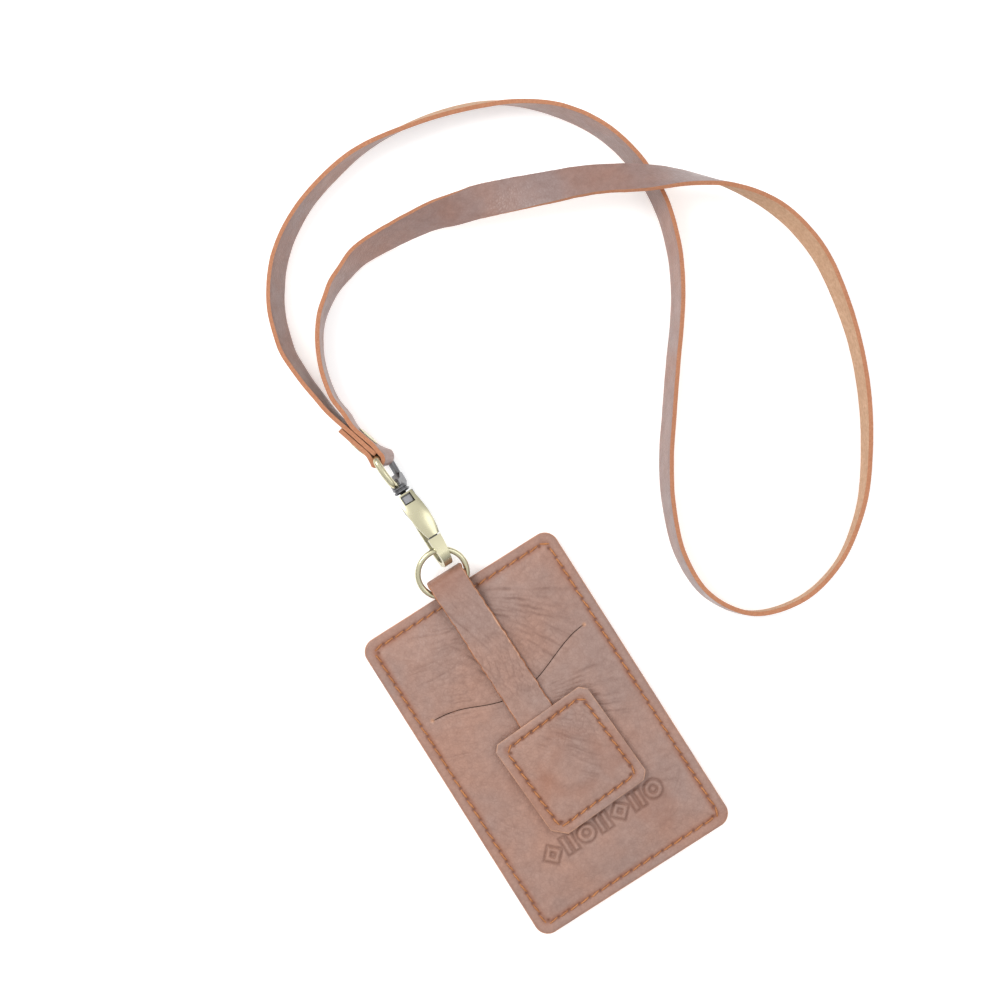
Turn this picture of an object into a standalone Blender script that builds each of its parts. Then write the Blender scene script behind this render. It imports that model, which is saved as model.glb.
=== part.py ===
"""Leather card holder on a lanyard: a sewn card pocket with a magnetic closure tab,
an O-ring, a swivel trigger clasp and one flat leather strap made into a loop.

Metres, +Z up out of the front of the holder, +Y from the holder towards the clasp,
+X to the right seen from the front.  Every length below is in millimetres and is
scaled once, when a mesh is made.
"""
import math

import bmesh
import bpy
from mathutils import Matrix, Vector

MM = 0.001

# ---- holder -------------------------------------------------------------------
HOLDER_W = 72.0
HOLDER_L = 110.0
HOLDER_R = 4.5
LEATHER = 1.2
BACK_TOP = 1.3
FILM_Z = (1.4, 1.7)
LINING_RIM = 2.5
LINING_TOP = 3.2
LINING_T = 0.6
RIM_TOP = 3.8
FRONT_TOP = 6.4
STITCH_INSET = 3.3
THREAD_R = 0.3
WINDOW_W = 48.0
WINDOW_L = 76.0
SLIT_Y = 22.7
SLIT_HALF = 28.7
SLIT_DIP = 7.4
MAGNET_R = 7.0
MAGNET_T = 1.1

# ---- closure tab and its square patch ---------------------------------------------
TAB_W = 12.6
TAB_X = -0.6
TAB_T = 1.1
TAB_BULGE = 0.12
PATCH_X = 1.8
PATCH_Y = -11.5
PATCH_W = 35.5
PATCH_L = 36.0
PATCH_CHAMFER = 3.5
PATCH_TURN = math.radians(3.0)
PATCH_BACK_Z = (6.65, 7.65)
PATCH_RIM_Z = (8.05, 9.05)
PATCH_CROWN = 10.8
TAB_BACK_END = 47.0
TAB_SPLIT = 56.2
TAB_FRONT_END = 2.0

# ---- ring and clasp --------------------------------------------------------------
RING_R = 7.9
RING_WIRE = 0.9
RING_X = -0.7
RING_SOUTH_Y = 53.4
RING_SOUTH_Z = 4.85
RING_TILT = math.radians(20.0)
CLASP_X = 2.4
CLASP_Z = 8.6
HOOK_ROLL = math.radians(11.0)
EYE_LEAN = 15.0
STACK_LEAN = 5.0
HOOK_Y = 67.5
HOOK_W = 3.4
HEAD_W = 5.2
PIN_Y = 81.5
PIN_Z = 10.2
PIN_R = 0.6
EYE_WIRE = 1.0
EYE_BAR_Y = 102.3

# ---- strap -----------------------------------------------------------------------
STRAP_W = 10.8
STRAP_T = 1.6
LAYER_STEP = 1.8
RIVET_Y = 109.6
RIVET_X = 0.3
RIVET_POST = 1.4
RIVET_CAP = 3.7

# The origin lies under the middle of the holder and clasp taken together.
HOLDER_Y = -(EYE_BAR_Y + EYE_WIRE - HOLDER_L / 2) / 2

COLOURS = {
    "leather": (0.42, 0.27, 0.22, 1.0),
    "thread": (0.50, 0.21, 0.08, 1.0),
    "brass": (0.62, 0.56, 0.36, 1.0),
    "steel": (0.45, 0.45, 0.47, 1.0),
    "film": (0.85, 0.88, 0.90, 0.35),
    "lining": (0.28, 0.20, 0.16, 1.0),
}

# Middle of the strap's width and its lean from upright, positive to the right of the
# direction of travel, from the riveted end round the loop to the eye of the clasp.
STRAP_ROUTE = [
    (-3.1, 122.6, 7.8, -9), (-3.9, 128.7, 7.1, -11), (-4.6, 134.8, 5.9, -13), (-4.9, 140.6, 5.5, -15),
    (-4.9, 146.2, 5.4, -17), (-4.0, 151.0, 5.4, -18), (-1.0, 160.1, 5.4, -19), (3.7, 167.9, 5.4, -19),
    (9.8, 174.9, 5.4, -17), (18.1, 180.9, 5.4, -13), (28.5, 185.7, 5.5, -8), (41.8, 189.0, 5.5, -4),
    (52.0, 189.9, 5.5, 4), (63.0, 189.0, 5.4, 13), (76.6, 186.4, 5.4, 19), (90.0, 181.8, 5.4, 19),
    (101.0, 175.5, 5.5, 8), (111.2, 166.0, 5.5, -6), (119.0, 153.4, 5.5, -11), (122.6, 138.7, 5.4, -13),
    (122.2, 123.8, 5.4, -14), (118.1, 109.6, 5.4, -13), (112.8, 98.9, 5.4, -12),
    (106.7, 89.7, 5.4, -12), (97.2, 77.4, 5.4, -13), (87.9, 65.0, 5.4, -13), (78.9, 52.6, 5.4, -13),
    (71.6, 39.2, 5.5, -10), (66.7, 24.5, 5.5, -7), (67.2, 9.4, 5.5, -3), (76.0, -3.0, 5.5, 0),
    (91.5, -7.6, 5.5, -1), (106.9, -4.7, 5.5, -4), (119.8, 3.4, 5.5, -3), (130.5, 14.6, 5.5, 0),
    (142.8, 33.8, 5.5, 3), (151.5, 54.6, 5.5, 5), (156.3, 77.0, 5.4, 10), (155.8, 92.0, 5.7, 10),
    (151.6, 104.6, 7.2, 6), (142.9, 116.2, 11.2, -9), (131.6, 125.1, 15.4, -32),
    (119.7, 132.2, 16.9, -57), (106.7, 140.1, 15.4, -66), (91.3, 146.9, 13.2, -78),
    (74.3, 153.8, 10.8, -102), (65.4, 156.6, 9.4, -124), (56.5, 159.3, 7.8, -141),
    (42.8, 161.1, 6.2, -150), (31.6, 161.4, 5.7, -156), (24.3, 159.3, 5.5, -165),
    (19.2, 157.4, 5.4, -169), (15.1, 154.7, 5.4, -174), (11.2, 151.8, 5.4, -176),
    (8.0, 148.3, 5.4, -178), (5.4, 144.4, 5.4, -178), (3.2, 140.1, 5.5, -178), (1.6, 135.6, 5.7, -177),
    (0.5, 130.7, 6.8, -176), (-0.1, 125.6, 7.5, -175), (0.5, 120.1, 8.2, -174),
]


def material(name):
    mat = bpy.data.materials.get(name)
    if mat is None:
        mat = bpy.data.materials.new(name)
        mat.use_nodes = True
        shader = mat.node_tree.nodes["Principled BSDF"]
        shader.inputs["Base Color"].default_value = COLOURS[name]
        shader.inputs["Metallic"].default_value = 1.0 if name in ("brass", "steel") else 0.0
        shader.inputs["Roughness"].default_value = 0.3 if name in ("brass", "steel") else 0.6
    return mat


def add_object(name, verts, faces, mat, turn=None):
    """A closed body from millimetre points, its faces turned outward."""
    bm = bmesh.new()
    made = [bm.verts.new(v) for v in verts]
    for face in faces:
        bm.faces.new([made[i] for i in face])
    if turn:
        angle, cx, cy = turn
        spin = Matrix.Translation((cx, cy, 0)) @ Matrix.Rotation(angle, 4, "Z")
        bm.transform(spin)
    bm.transform(Matrix.Scale(MM, 4) @ Matrix.Translation((0, HOLDER_Y, 0)))
    bmesh.ops.recalc_face_normals(bm, faces=bm.faces)
    mesh = bpy.data.meshes.new(name)
    bm.to_mesh(mesh)
    bm.free()
    obj = bpy.data.objects.new(name, mesh)
    obj.data.materials.append(material(mat))
    bpy.context.collection.objects.link(obj)
    return obj


def stacked(loops):
    """Verts and faces of a solid skinned over equal loops, first and last one capped."""
    count = len(loops[0])
    verts = [p for loop in loops for p in loop]
    faces = [list(range(count))[::-1]]
    for k in range(len(loops) - 1):
        low = k * count
        high = low + count
        for i in range(count):
            j = (i + 1) % count
            faces.append([low + i, low + j, high + j, high + i])
    top = (len(loops) - 1) * count
    faces.append(list(range(top, top + count)))
    return verts, faces


def framed(outer, inner, z0, z1):
    """Verts and faces of a flat frame between two equal loops."""
    count = len(outer)
    levels = [(outer, z0), (outer, z1), (inner, z1), (inner, z0)]
    verts = [(x, y, z) for loop, z in levels for x, y in loop]
    faces = []
    for k in range(4):
        near = k * count
        far = ((k + 1) % 4) * count
        for i in range(count):
            j = (i + 1) % count
            faces.append([near + i, near + j, far + j, far + i])
    return verts, faces


def prism(outline, z0, z1):
    return stacked([[(x, y, z0) for x, y in outline], [(x, y, z1) for x, y in outline]])


def side_prism(outline, x0, x1):
    """An outline drawn in the YZ plane, given width along X."""
    return stacked([[(x0, y, z) for y, z in outline], [(x1, y, z) for y, z in outline]])


def rounded_rect(width, length, radius, steps=6):
    points = []
    for k, (sx, sy) in enumerate([(1, 1), (-1, 1), (-1, -1), (1, -1)]):
        cx = sx * (width / 2 - radius)
        cy = sy * (length / 2 - radius)
        for i in range(steps + 1):
            a = math.radians(90 * k + 90 * i / steps)
            points.append((cx + radius * math.cos(a), cy + radius * math.sin(a)))
    return points


def polar_patch(inset, angles):
    """The patch outline, moved in by the inset, at the given bearings."""
    half_w = PATCH_W / 2 - inset
    half_l = PATCH_L / 2 - inset
    cut = (PATCH_W / 2 + PATCH_L / 2 - PATCH_CHAMFER) / math.sqrt(2) - inset
    points = []
    for a in angles:
        c = abs(math.cos(a))
        s = abs(math.sin(a))
        r = min(half_w / max(c, 1e-9), half_l / max(s, 1e-9), cut * math.sqrt(2) / (c + s))
        points.append((r * math.cos(a), r * math.sin(a)))
    return points


def arc(cy, cz, radius, start, end, steps):
    """Points on an arc, angles in degrees, both ends included."""
    turns = [math.radians(start + (end - start) * i / steps) for i in range(steps + 1)]
    return [(cy + radius * math.cos(a), cz + radius * math.sin(a)) for a in turns]


def tube(path, radius, sides=8, closed=False):
    """Verts and faces of a round wire along a list of points."""
    pts = [Vector(p) for p in path]
    count = len(pts)
    loops = []
    side = None
    for i, p in enumerate(pts):
        if closed:
            ahead = pts[(i + 1) % count] - pts[i - 1]
        else:
            ahead = pts[min(i + 1, count - 1)] - pts[max(i - 1, 0)]
        ahead.normalize()
        if side is None:
            side = ahead.orthogonal()
        side = (side - ahead * side.dot(ahead)).normalized()
        up = ahead.cross(side)
        ring = []
        for k in range(sides):
            a = 2 * math.pi * k / sides
            ring.append(tuple(p + radius * (math.cos(a) * side + math.sin(a) * up)))
        loops.append(ring)
    if not closed:
        return stacked(loops)
    verts = [v for loop in loops for v in loop]
    faces = []
    for i in range(count):
        near = i * sides
        far = ((i + 1) % count) * sides
        for k in range(sides):
            m = (k + 1) % sides
            faces.append([near + k, near + m, far + m, far + k])
    return verts, faces


def turned(profile, centre, axis, steps=24):
    """Verts and faces of a round solid; the profile is (radius, distance along axis)."""
    axis = Vector(axis).normalized()
    side = axis.orthogonal().normalized()
    up = axis.cross(side)
    loops = []
    for radius, along in profile:
        ring = []
        for k in range(steps):
            a = 2 * math.pi * k / steps
            p = Vector(centre) + axis * along + radius * (math.cos(a) * side + math.sin(a) * up)
            ring.append(tuple(p))
        loops.append(ring)
    return stacked(loops)


def cut(target, name, shape):
    """Take a closed shape out of a body."""
    cutter = add_object(name, *shape, "steel")
    cutter.hide_render = True
    cutter.display_type = "WIRE"
    mod = target.modifiers.new(name, "BOOLEAN")
    mod.operation = "DIFFERENCE"
    mod.solver = "EXACT"
    mod.object = cutter


def join(target, name, shape):
    """Add an overlapping closed shape to a body."""
    helper = add_object(name, *shape, "steel")
    helper.hide_render = True
    helper.display_type = "WIRE"
    mod = target.modifiers.new(name, "BOOLEAN")
    mod.operation = "UNION"
    mod.solver = "EXACT"
    mod.object = helper


def dished(levels, thickness):
    """A holder-sized sheet that rises from its rim: levels are (inset, top of sheet)."""
    tops = []
    for inset, top in levels:
        loop = rounded_rect(HOLDER_W - 2 * inset, HOLDER_L - 2 * inset, HOLDER_R)
        tops.append([(x, y, top) for x, y in loop])
    bottoms = [[(x, y, z - thickness) for x, y, z in loop] for loop in tops]
    return stacked(bottoms[::-1] + tops)


# ---- holder ----------------------------------------------------------------------
def build_holder():
    outer = rounded_rect(HOLDER_W, HOLDER_L, HOLDER_R)
    window = rounded_rect(WINDOW_W, WINDOW_L, HOLDER_R)
    add_object("back_panel", *framed(outer, window, 0.0, BACK_TOP), "leather")
    film = rounded_rect(HOLDER_W - 12, HOLDER_L - 18, 2.0)
    add_object("window_film", *prism(film, *FILM_Z), "film")
    build_lining()
    under_front = (PATCH_X, PATCH_Y, FRONT_TOP - LEATHER - MAGNET_T - 0.1)
    disc = turned([(MAGNET_R, 0), (MAGNET_R, MAGNET_T)], under_front, (0, 0, 1))
    add_object("holder_magnet", *disc, "steel")

    levels = [(0, RIM_TOP), (STITCH_INSET + 0.6, RIM_TOP), (6.5, 5.0), (9.0, 5.9), (13.0, FRONT_TOP)]
    front = add_object("front_panel", *dished(levels, LEATHER), "leather")
    cut(front, "slit_cutter", slit_shape())

    seam = rounded_rect(HOLDER_W - 2 * STITCH_INSET, HOLDER_L - 2 * STITCH_INSET, 2.5, 4)
    path = [(x, y, RIM_TOP + THREAD_R + 0.02) for x, y in seam]
    add_object("border_thread", *tube(path, THREAD_R, 6, closed=True), "thread")


def build_lining():
    """The sheet between the two card spaces, with a notch for the tab's sewn leg."""
    levels = [(0, LINING_RIM), (5.0, LINING_RIM), (7.5, LINING_TOP)]
    lining = add_object("front_lining", *dished(levels, LINING_T), "lining")
    half = TAB_W / 2 + 0.5
    notch = box((TAB_X - half, TAB_BACK_END - 0.6, 1.0), (TAB_X + half, HOLDER_L / 2 + 1.0, 4.0))
    cut(lining, "tab_notch", notch)


def slit_shape():
    """The curved card slit: a narrow slot that ends in two round holes."""
    half_gap = 0.35
    upper = []
    lower = []
    for i in range(25):
        x = SLIT_HALF * (i / 12 - 1)
        y = SLIT_Y - SLIT_DIP * math.cos(math.pi * x / (2 * SLIT_HALF)) ** 2
        upper.append((x, y + half_gap))
        lower.append((x, y - half_gap))
    right = [(SLIT_HALF + a, SLIT_Y + b) for a, b in arc(0, 0, 1.0, -140, 140, 8)]
    left = [(-SLIT_HALF + a, SLIT_Y + b) for a, b in arc(0, 0, 1.0, 40, 320, 8)]
    outline = lower[1:-1] + right + upper[-2:0:-1] + left
    return prism(outline, RIM_TOP - LEATHER - 1.0, FRONT_TOP + 1.0)


# ---- tab and patch ---------------------------------------------------------------
def tab_line():
    """The tab's middle line in the YZ plane, from the top seam out over the ring and down."""
    line = [(TAB_BACK_END, 1.98), (54.0, 1.98)]
    line += arc(57.1, 5.15, 3.17, -78, 78, 14)
    line += [(54.4, 8.0), (50.0, 7.55), (46.0, 7.35), (24.0, 7.28), (TAB_FRONT_END, 7.28)]
    return line


def ribbon(line, x, width, thickness):
    """A flat strip of leather along a line in the YZ plane, its cut edges slightly full."""
    loops = []
    half = width / 2
    for i, (y, z) in enumerate(line):
        y0, z0 = line[max(i - 1, 0)]
        y1, z1 = line[min(i + 1, len(line) - 1)]
        size = math.hypot(y1 - y0, z1 - z0)
        ny = -(z1 - z0) / size * thickness / 2
        nz = (y1 - y0) / size * thickness / 2
        upper = (y + ny, z + nz)
        lower = (y - ny, z - nz)
        loop = [(x - half, *upper), (x + half, *upper), (x + half + TAB_BULGE, y, z)]
        loop += [(x + half, *lower), (x - half, *lower), (x - half - TAB_BULGE, y, z)]
        loops.append(loop)
    return stacked(loops)


def split_tab():
    """The tab line cut where the fold starts: the sewn leg and the leg that opens."""
    line = tab_line()
    split = 9
    y0, z0 = line[split]
    y1, z1 = line[split + 1]
    near = (y0 * 0.9 + y1 * 0.1, z0 * 0.9 + z1 * 0.1)
    far = (y0 * 0.1 + y1 * 0.9, z0 * 0.1 + z1 * 0.9)
    return line[:split + 1] + [near], [far] + line[split + 1:]


def build_tab():
    rear, front = split_tab()
    add_object("tab_strap_rear", *ribbon(rear, TAB_X, TAB_W, TAB_T), "leather")
    add_object("tab_strap_front", *ribbon(front, TAB_X, TAB_W, TAB_T), "leather")

    corners = [math.atan2(PATCH_L / 2, PATCH_W / 2 - PATCH_CHAMFER)]
    corners.append(math.atan2(PATCH_L / 2 - PATCH_CHAMFER, PATCH_W / 2))
    quarter = sorted([0.0, 0.2, 0.4, 0.55, math.pi / 4, 1.02, 1.18, 1.37] + corners)
    angles = []
    for k in range(4):
        angles += [k * math.pi / 2 + (a if k % 2 == 0 else math.pi / 2 - a) for a in quarter]
    angles = sorted({round(a, 6) for a in angles if a < 2 * math.pi})
    crown = [(7.9, PATCH_CROWN - 1.1), (7.0, PATCH_CROWN - 0.4), (4.5, PATCH_CROWN)]
    tops = []
    for inset, z in [(0.0, PATCH_RIM_Z[1]), (3.4, PATCH_RIM_Z[1]), (6.0, PATCH_RIM_Z[1] + 0.4)]:
        tops.append([(x, y, z) for x, y in polar_patch(inset, angles)])
    for r, z in crown:
        tops.append([(r * math.cos(a), r * math.sin(a), z) for a in angles])
    bottoms = [[(x, y, z - 1.0) for x, y, z in loop] for loop in tops]
    turn = (PATCH_TURN, PATCH_X, PATCH_Y)
    add_object("patch_front", *stacked(bottoms[::-1] + tops), "leather", turn=turn)

    back = polar_patch(0.3, angles)
    half = TAB_W / 2 + 0.6
    mid = TAB_X - PATCH_X + 0.6
    floor = TAB_FRONT_END - 1.0 - PATCH_Y
    kept = [p for p in back if not (mid - half < p[0] < mid + half and p[1] > 0)]
    turn_at = next(i for i, p in enumerate(kept) if p[0] < mid - half and p[1] > 0)
    edge = PATCH_L / 2 - 0.3
    notch = [(mid + half, edge), (mid + half, floor), (mid - half, floor), (mid - half, edge)]
    outline = kept[:turn_at] + notch + kept[turn_at:]
    add_object("patch_back", *prism(outline, *PATCH_BACK_Z), "leather", turn=turn)

    on_back = (PATCH_X, PATCH_Y, PATCH_BACK_Z[1] + 0.1)
    disc = turned([(MAGNET_R, 0), (MAGNET_R, MAGNET_T)], on_back, (0, 0, 1))
    add_object("flap_magnet", *disc, "steel")

    seam = polar_patch(3.0, angles)
    path = [(x, y, PATCH_RIM_Z[1] + THREAD_R + 0.02) for x, y in seam]
    add_object("patch_thread", *tube(path, THREAD_R, 6, closed=True), "thread", turn=turn)


# ---- ring ------------------------------------------------------------------------
def build_ring():
    path = []
    for i in range(40):
        a = 2 * math.pi * i / 40
        out = RING_R * (1 + math.sin(a))
        y = RING_SOUTH_Y + out * math.cos(RING_TILT)
        z = RING_SOUTH_Z + out * math.sin(RING_TILT)
        path.append((RING_X + RING_R * math.cos(a), y, z))
    add_object("o_ring", *tube(path, RING_WIRE, 10, closed=True), "brass")


# ---- clasp -----------------------------------------------------------------------
def roll(obj, angle):
    """Turns a finished piece and its cutters about the swivel's long axis, its top towards +X."""
    centre = Matrix.Translation((CLASP_X * MM, 0, CLASP_Z * MM))
    turn = centre @ Matrix.Rotation(angle, 4, "Y") @ centre.inverted()
    for piece in [obj] + [mod.object for mod in obj.modifiers]:
        piece.data.transform(turn)


def build_clasp():
    """The hook, gate, pin and spring roll one way on the swivel, the eye leans the other."""
    for obj in (build_hook(), build_pin(), build_gate(), build_spring()):
        roll(obj, HOOK_ROLL)
    for obj in (build_eye(), build_swivel_rivet()):
        roll(obj, -math.radians(EYE_LEAN))


def build_hook():
    spine = arc(HOOK_Y, 8.3, 5.5, 100, 270, 12) + [(80.0, 3.0), (84.0, 4.2), (88.5, 4.8)]
    inner = [(88.5, 12.2), (83.2, 12.2), (83.2, 6.4), (80.0, 4.9)] + arc(HOOK_Y, 8.3, 3.8, 270, 100, 10)
    nose = [(71.6, 12.2), (71.6, 14.0)]
    outline = spine + inner + nose
    half = HOOK_W / 2
    body = add_object("hook_body", *side_prism(outline, CLASP_X - half, CLASP_X + half), "brass")
    head = rounded_head()
    join(body, "head_block", head)
    cut(body, "head_slot", box((CLASP_X - 1.75, 79.0, 6.2), (CLASP_X + 1.75, 86.2, 16.0)))
    bore = turned([(1.25, 0), (1.25, 8)], (CLASP_X, 84.0, CLASP_Z), (0, 1, 0), 16)
    cut(body, "swivel_bore", bore)
    pin_bore = turned([(PIN_R + 0.1, 0), (PIN_R + 0.1, 12)], (CLASP_X - 6, PIN_Y, PIN_Z), (1, 0, 0), 12)
    cut(body, "pin_bore", pin_bore)
    return body


def build_pin():
    pin = turned([(PIN_R, 0), (PIN_R, HEAD_W)], (CLASP_X - HEAD_W / 2, PIN_Y, PIN_Z), (1, 0, 0), 16)
    return add_object("gate_pin", *pin, "steel")


def build_swivel_rivet():
    head_disc = [(1.6, 0), (1.6, 1.4), (1.05, 1.5), (1.05, 7.6)]
    post = turned(head_disc, (CLASP_X, 84.4, CLASP_Z), (0, 1, 0), 16)
    return add_object("swivel_rivet", *post, "steel")


def box(low, high):
    x0, y0, z0 = low
    x1, y1, z1 = high
    return prism([(x0, y0), (x1, y0), (x1, y1), (x0, y1)], z0, z1)


def rounded_head():
    """The solid end of the hook that carries the swivel and the gate's pin."""
    half = HEAD_W / 2
    outline = [(79.6, 8.8), (83.0, 5.2), (88.6, 5.2), (88.6, 12.2), (81.6, 12.2), (79.6, 11.2)]
    return side_prism(outline, CLASP_X - half, CLASP_X + half)


def build_gate():
    """A bowed lever that closes on the nose, with a window over the swivel's head."""
    sections = [(72.4, 13.9, 1.5, 1.95), (74.0, 14.4, 1.6, 2.5), (76.5, 14.9, 1.6, 3.0)]
    sections += [(79.0, 15.1, 1.5, 3.2), (82.0, 15.0, 1.5, 3.2), (85.0, 14.5, 1.4, 3.05)]
    sections += [(88.4, 13.8, 1.2, 2.85)]
    loops = []
    for y, z, deep, half in sections:
        left = CLASP_X - half
        right = CLASP_X + half
        loops.append([(left, y, z - deep), (right, y, z - deep), (right, y, z), (left, y, z)])
    gate = add_object("gate_lever", *stacked(loops), "brass")
    web = [(80.0, 14.2), (80.1, 9.6)] + arc(PIN_Y, PIN_Z, 1.5, 205, 335, 6) + [(82.9, 9.6), (83.0, 14.2)]
    join(gate, "gate_web", side_prism(web, CLASP_X - 1.5, CLASP_X - 0.1))
    cut(gate, "gate_window", box((CLASP_X - 1.6, 83.6, 10.0), (CLASP_X + 1.6, 87.4, 18.0)))
    hole = turned([(PIN_R + 0.1, 0), (PIN_R + 0.1, 6)], (CLASP_X - 3, PIN_Y, PIN_Z), (1, 0, 0), 12)
    cut(gate, "gate_bore", hole)
    return gate


def build_spring():
    """The small coil round the gate's pin."""
    path = []
    for i in range(43):
        a = 2 * math.pi * i / 14
        x = CLASP_X + 0.2 + 0.4 * i / 14
        path.append((x, PIN_Y + 1.0 * math.cos(a), PIN_Z + 1.0 * math.sin(a)))
    return add_object("gate_spring", *tube(path, 0.15, 6), "steel")


def build_eye():
    """The swivel's wire loop, upright, with the strap folded round its straight bar."""
    tall = STRAP_W / 2 + 1.3
    bend = 1.8
    upper = arc(EYE_BAR_Y - bend, CLASP_Z + tall - bend, bend, 0, 90, 5)
    upper += [(97.0, CLASP_Z + tall - 0.2), (94.4, CLASP_Z + tall - 1.2), (92.6, CLASP_Z + 4.4), (91.9, CLASP_Z + 2.2)]
    lower = [(y, 2 * CLASP_Z - z) for y, z in upper[::-1]]
    line = lower + [(EYE_BAR_Y, CLASP_Z - 3), (EYE_BAR_Y, CLASP_Z + 3)] + upper
    eye = add_object("swivel_eye", *tube([(CLASP_X, y, z) for y, z in line], EYE_WIRE, 10), "brass")
    base = [(2.0, 0), (2.6, 0.6), (2.6, 1.8), (2.0, 3.2)]
    join(eye, "eye_base", turned(base, (CLASP_X, 89.8, CLASP_Z), (0, 1, 0), 20))
    bridge = [(91.0, CLASP_Z - 3.0), (93.4, CLASP_Z - 3.6), (93.4, CLASP_Z + 3.6), (91.0, CLASP_Z + 3.0)]
    join(eye, "eye_bridge", side_prism(bridge, CLASP_X - 1.1, CLASP_X + 1.1))
    cut(eye, "eye_bore", turned([(1.2, 0), (1.2, 3.2)], (CLASP_X, 89.2, CLASP_Z), (0, 1, 0), 16))
    return eye


# ---- strap -----------------------------------------------------------------------
def stack_tilt(lean):
    """The turn that leans an upright width over, in degrees, its top towards -X."""
    return Matrix.Rotation(-math.radians(lean), 3, "Y")


def strap_ends():
    """The rivet's middle, the eye's bar, and unit vectors along and across the riveted stack."""
    bar = Vector((CLASP_X, EYE_BAR_Y, CLASP_Z))
    rivet = Vector((RIVET_X, RIVET_Y, CLASP_Z))
    along = (rivet - bar).normalized()
    return rivet, bar, along, Vector((along.y, -along.x, 0))


def strap_stations():
    """Every station as (middle, lean in degrees) from the free end to the folded end."""
    rivet, bar, along, across = strap_ends()
    side = stack_tilt(STACK_LEAN) @ across * LAYER_STEP
    lean = STACK_LEAN * along.y
    start = [(rivet + along * k, -lean) for k in (-5.2, 0.0, 4.2)]
    route = []
    for x, y, z, tip in STRAP_ROUTE:
        turn = math.radians(tip)
        lowest = STRAP_W / 2 * abs(math.cos(turn)) + STRAP_T / 2 * abs(math.sin(turn))
        route.append((Vector((x, y, max(z, lowest + 0.05))), tip))
    end = [(rivet + side + along * k, lean - 180) for k in (5.0, 0.0, -4.2)]
    radius = EYE_WIRE + STRAP_T / 2 + 0.4
    for i in range(8 + 1):
        a = math.radians(180 * i / 8)
        around = radius * (math.cos(a) * across - math.sin(a) * along)
        heading = math.cos(a) * along.y + math.sin(a) * across.y
        end.append((bar + stack_tilt(EYE_LEAN) @ around, EYE_LEAN * heading - 180))
    end += [(rivet - side + along * k, -lean - 180) for k in (-4.2, 0.0, 7.5)]
    return start + route + end


def catmull(p0, p1, p2, p3, t):
    a = 2 * p1
    b = p2 - p0
    c = 2 * p0 - 5 * p1 + 4 * p2 - p3
    d = 3 * p1 - p0 - 3 * p2 + p3
    return 0.5 * (a + b * t + c * t * t + d * t * t * t)


def smooth_stations(stations, steps):
    """More stations on a smooth line through the given ones, skipping the tight fold."""
    fine = []
    last = len(stations) - 1
    for i in range(last):
        four = [stations[min(max(i + k, 0), last)] for k in (-1, 0, 1, 2)]
        far = (stations[i + 1][0] - stations[i][0]).length
        parts = steps if far > 6.0 else 1
        for k in range(parts):
            t = k / parts
            place = catmull(*[s[0] for s in four], t)
            lean = catmull(*[s[1] for s in four], t)
            fine.append((place, lean))
    fine.append(stations[last])
    return fine


def build_strap():
    fine = smooth_stations(strap_stations(), 3)
    loops = []
    for i, (place, lean) in enumerate(fine):
        ahead = fine[min(i + 1, len(fine) - 1)][0] - fine[max(i - 1, 0)][0]
        ahead.normalize()
        right = ahead.cross(Vector((0, 0, 1))).normalized()
        upright = right.cross(ahead)
        a = math.radians(lean)
        wide = math.cos(a) * upright + math.sin(a) * right
        thick = wide.cross(ahead) * STRAP_T / 2
        wide = wide * STRAP_W / 2
        corners = [place - wide - thick, place + wide - thick, place + wide + thick, place - wide + thick]
        loops.append([tuple(c) for c in corners])
    strap = add_object("lanyard_strap", *stacked(loops), "leather")
    build_rivet(strap)


def build_rivet(strap):
    """A two-part cap rivet through the three layers of strap beside the eye."""
    rivet, bar, along, across = strap_ends()
    across = stack_tilt(STACK_LEAN) @ across
    reach = LAYER_STEP + STRAP_T / 2 + 0.1
    hole = [(RIVET_POST + 0.15, 0), (RIVET_POST + 0.15, 12)]
    cut(strap, "rivet_hole", turned(hole, rivet - across * 6, across))
    dome = [(RIVET_CAP, 0.02), (RIVET_CAP, 0.3), (3.0, 0.65), (1.6, 0.85)]
    post = [(RIVET_POST, -2 * reach + 0.2), (RIVET_POST, 0)]
    add_object("rivet_cap_front", *turned(post + dome, rivet + across * reach, across), "brass")
    add_object("rivet_cap_back", *turned(dome, rivet - across * reach, -across), "brass")


for old in list(bpy.data.objects):
    bpy.data.objects.remove(old, do_unlink=True)
build_holder()
build_tab()
build_ring()
build_clasp()
build_strap()
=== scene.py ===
"""Looks of the leather card holder on its lanyard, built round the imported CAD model.

Lengths are in millimetres in the holder's own axes (x to the right, y towards the clasp,
z out of the front, zero at the middle of its back) unless a comment says metres, and
angles are in degrees unless they are turned into radians where they are named.
"""

import math
from contextlib import contextmanager

import bmesh
import bpy
import numpy as np
from mathutils import Matrix, Vector


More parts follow.
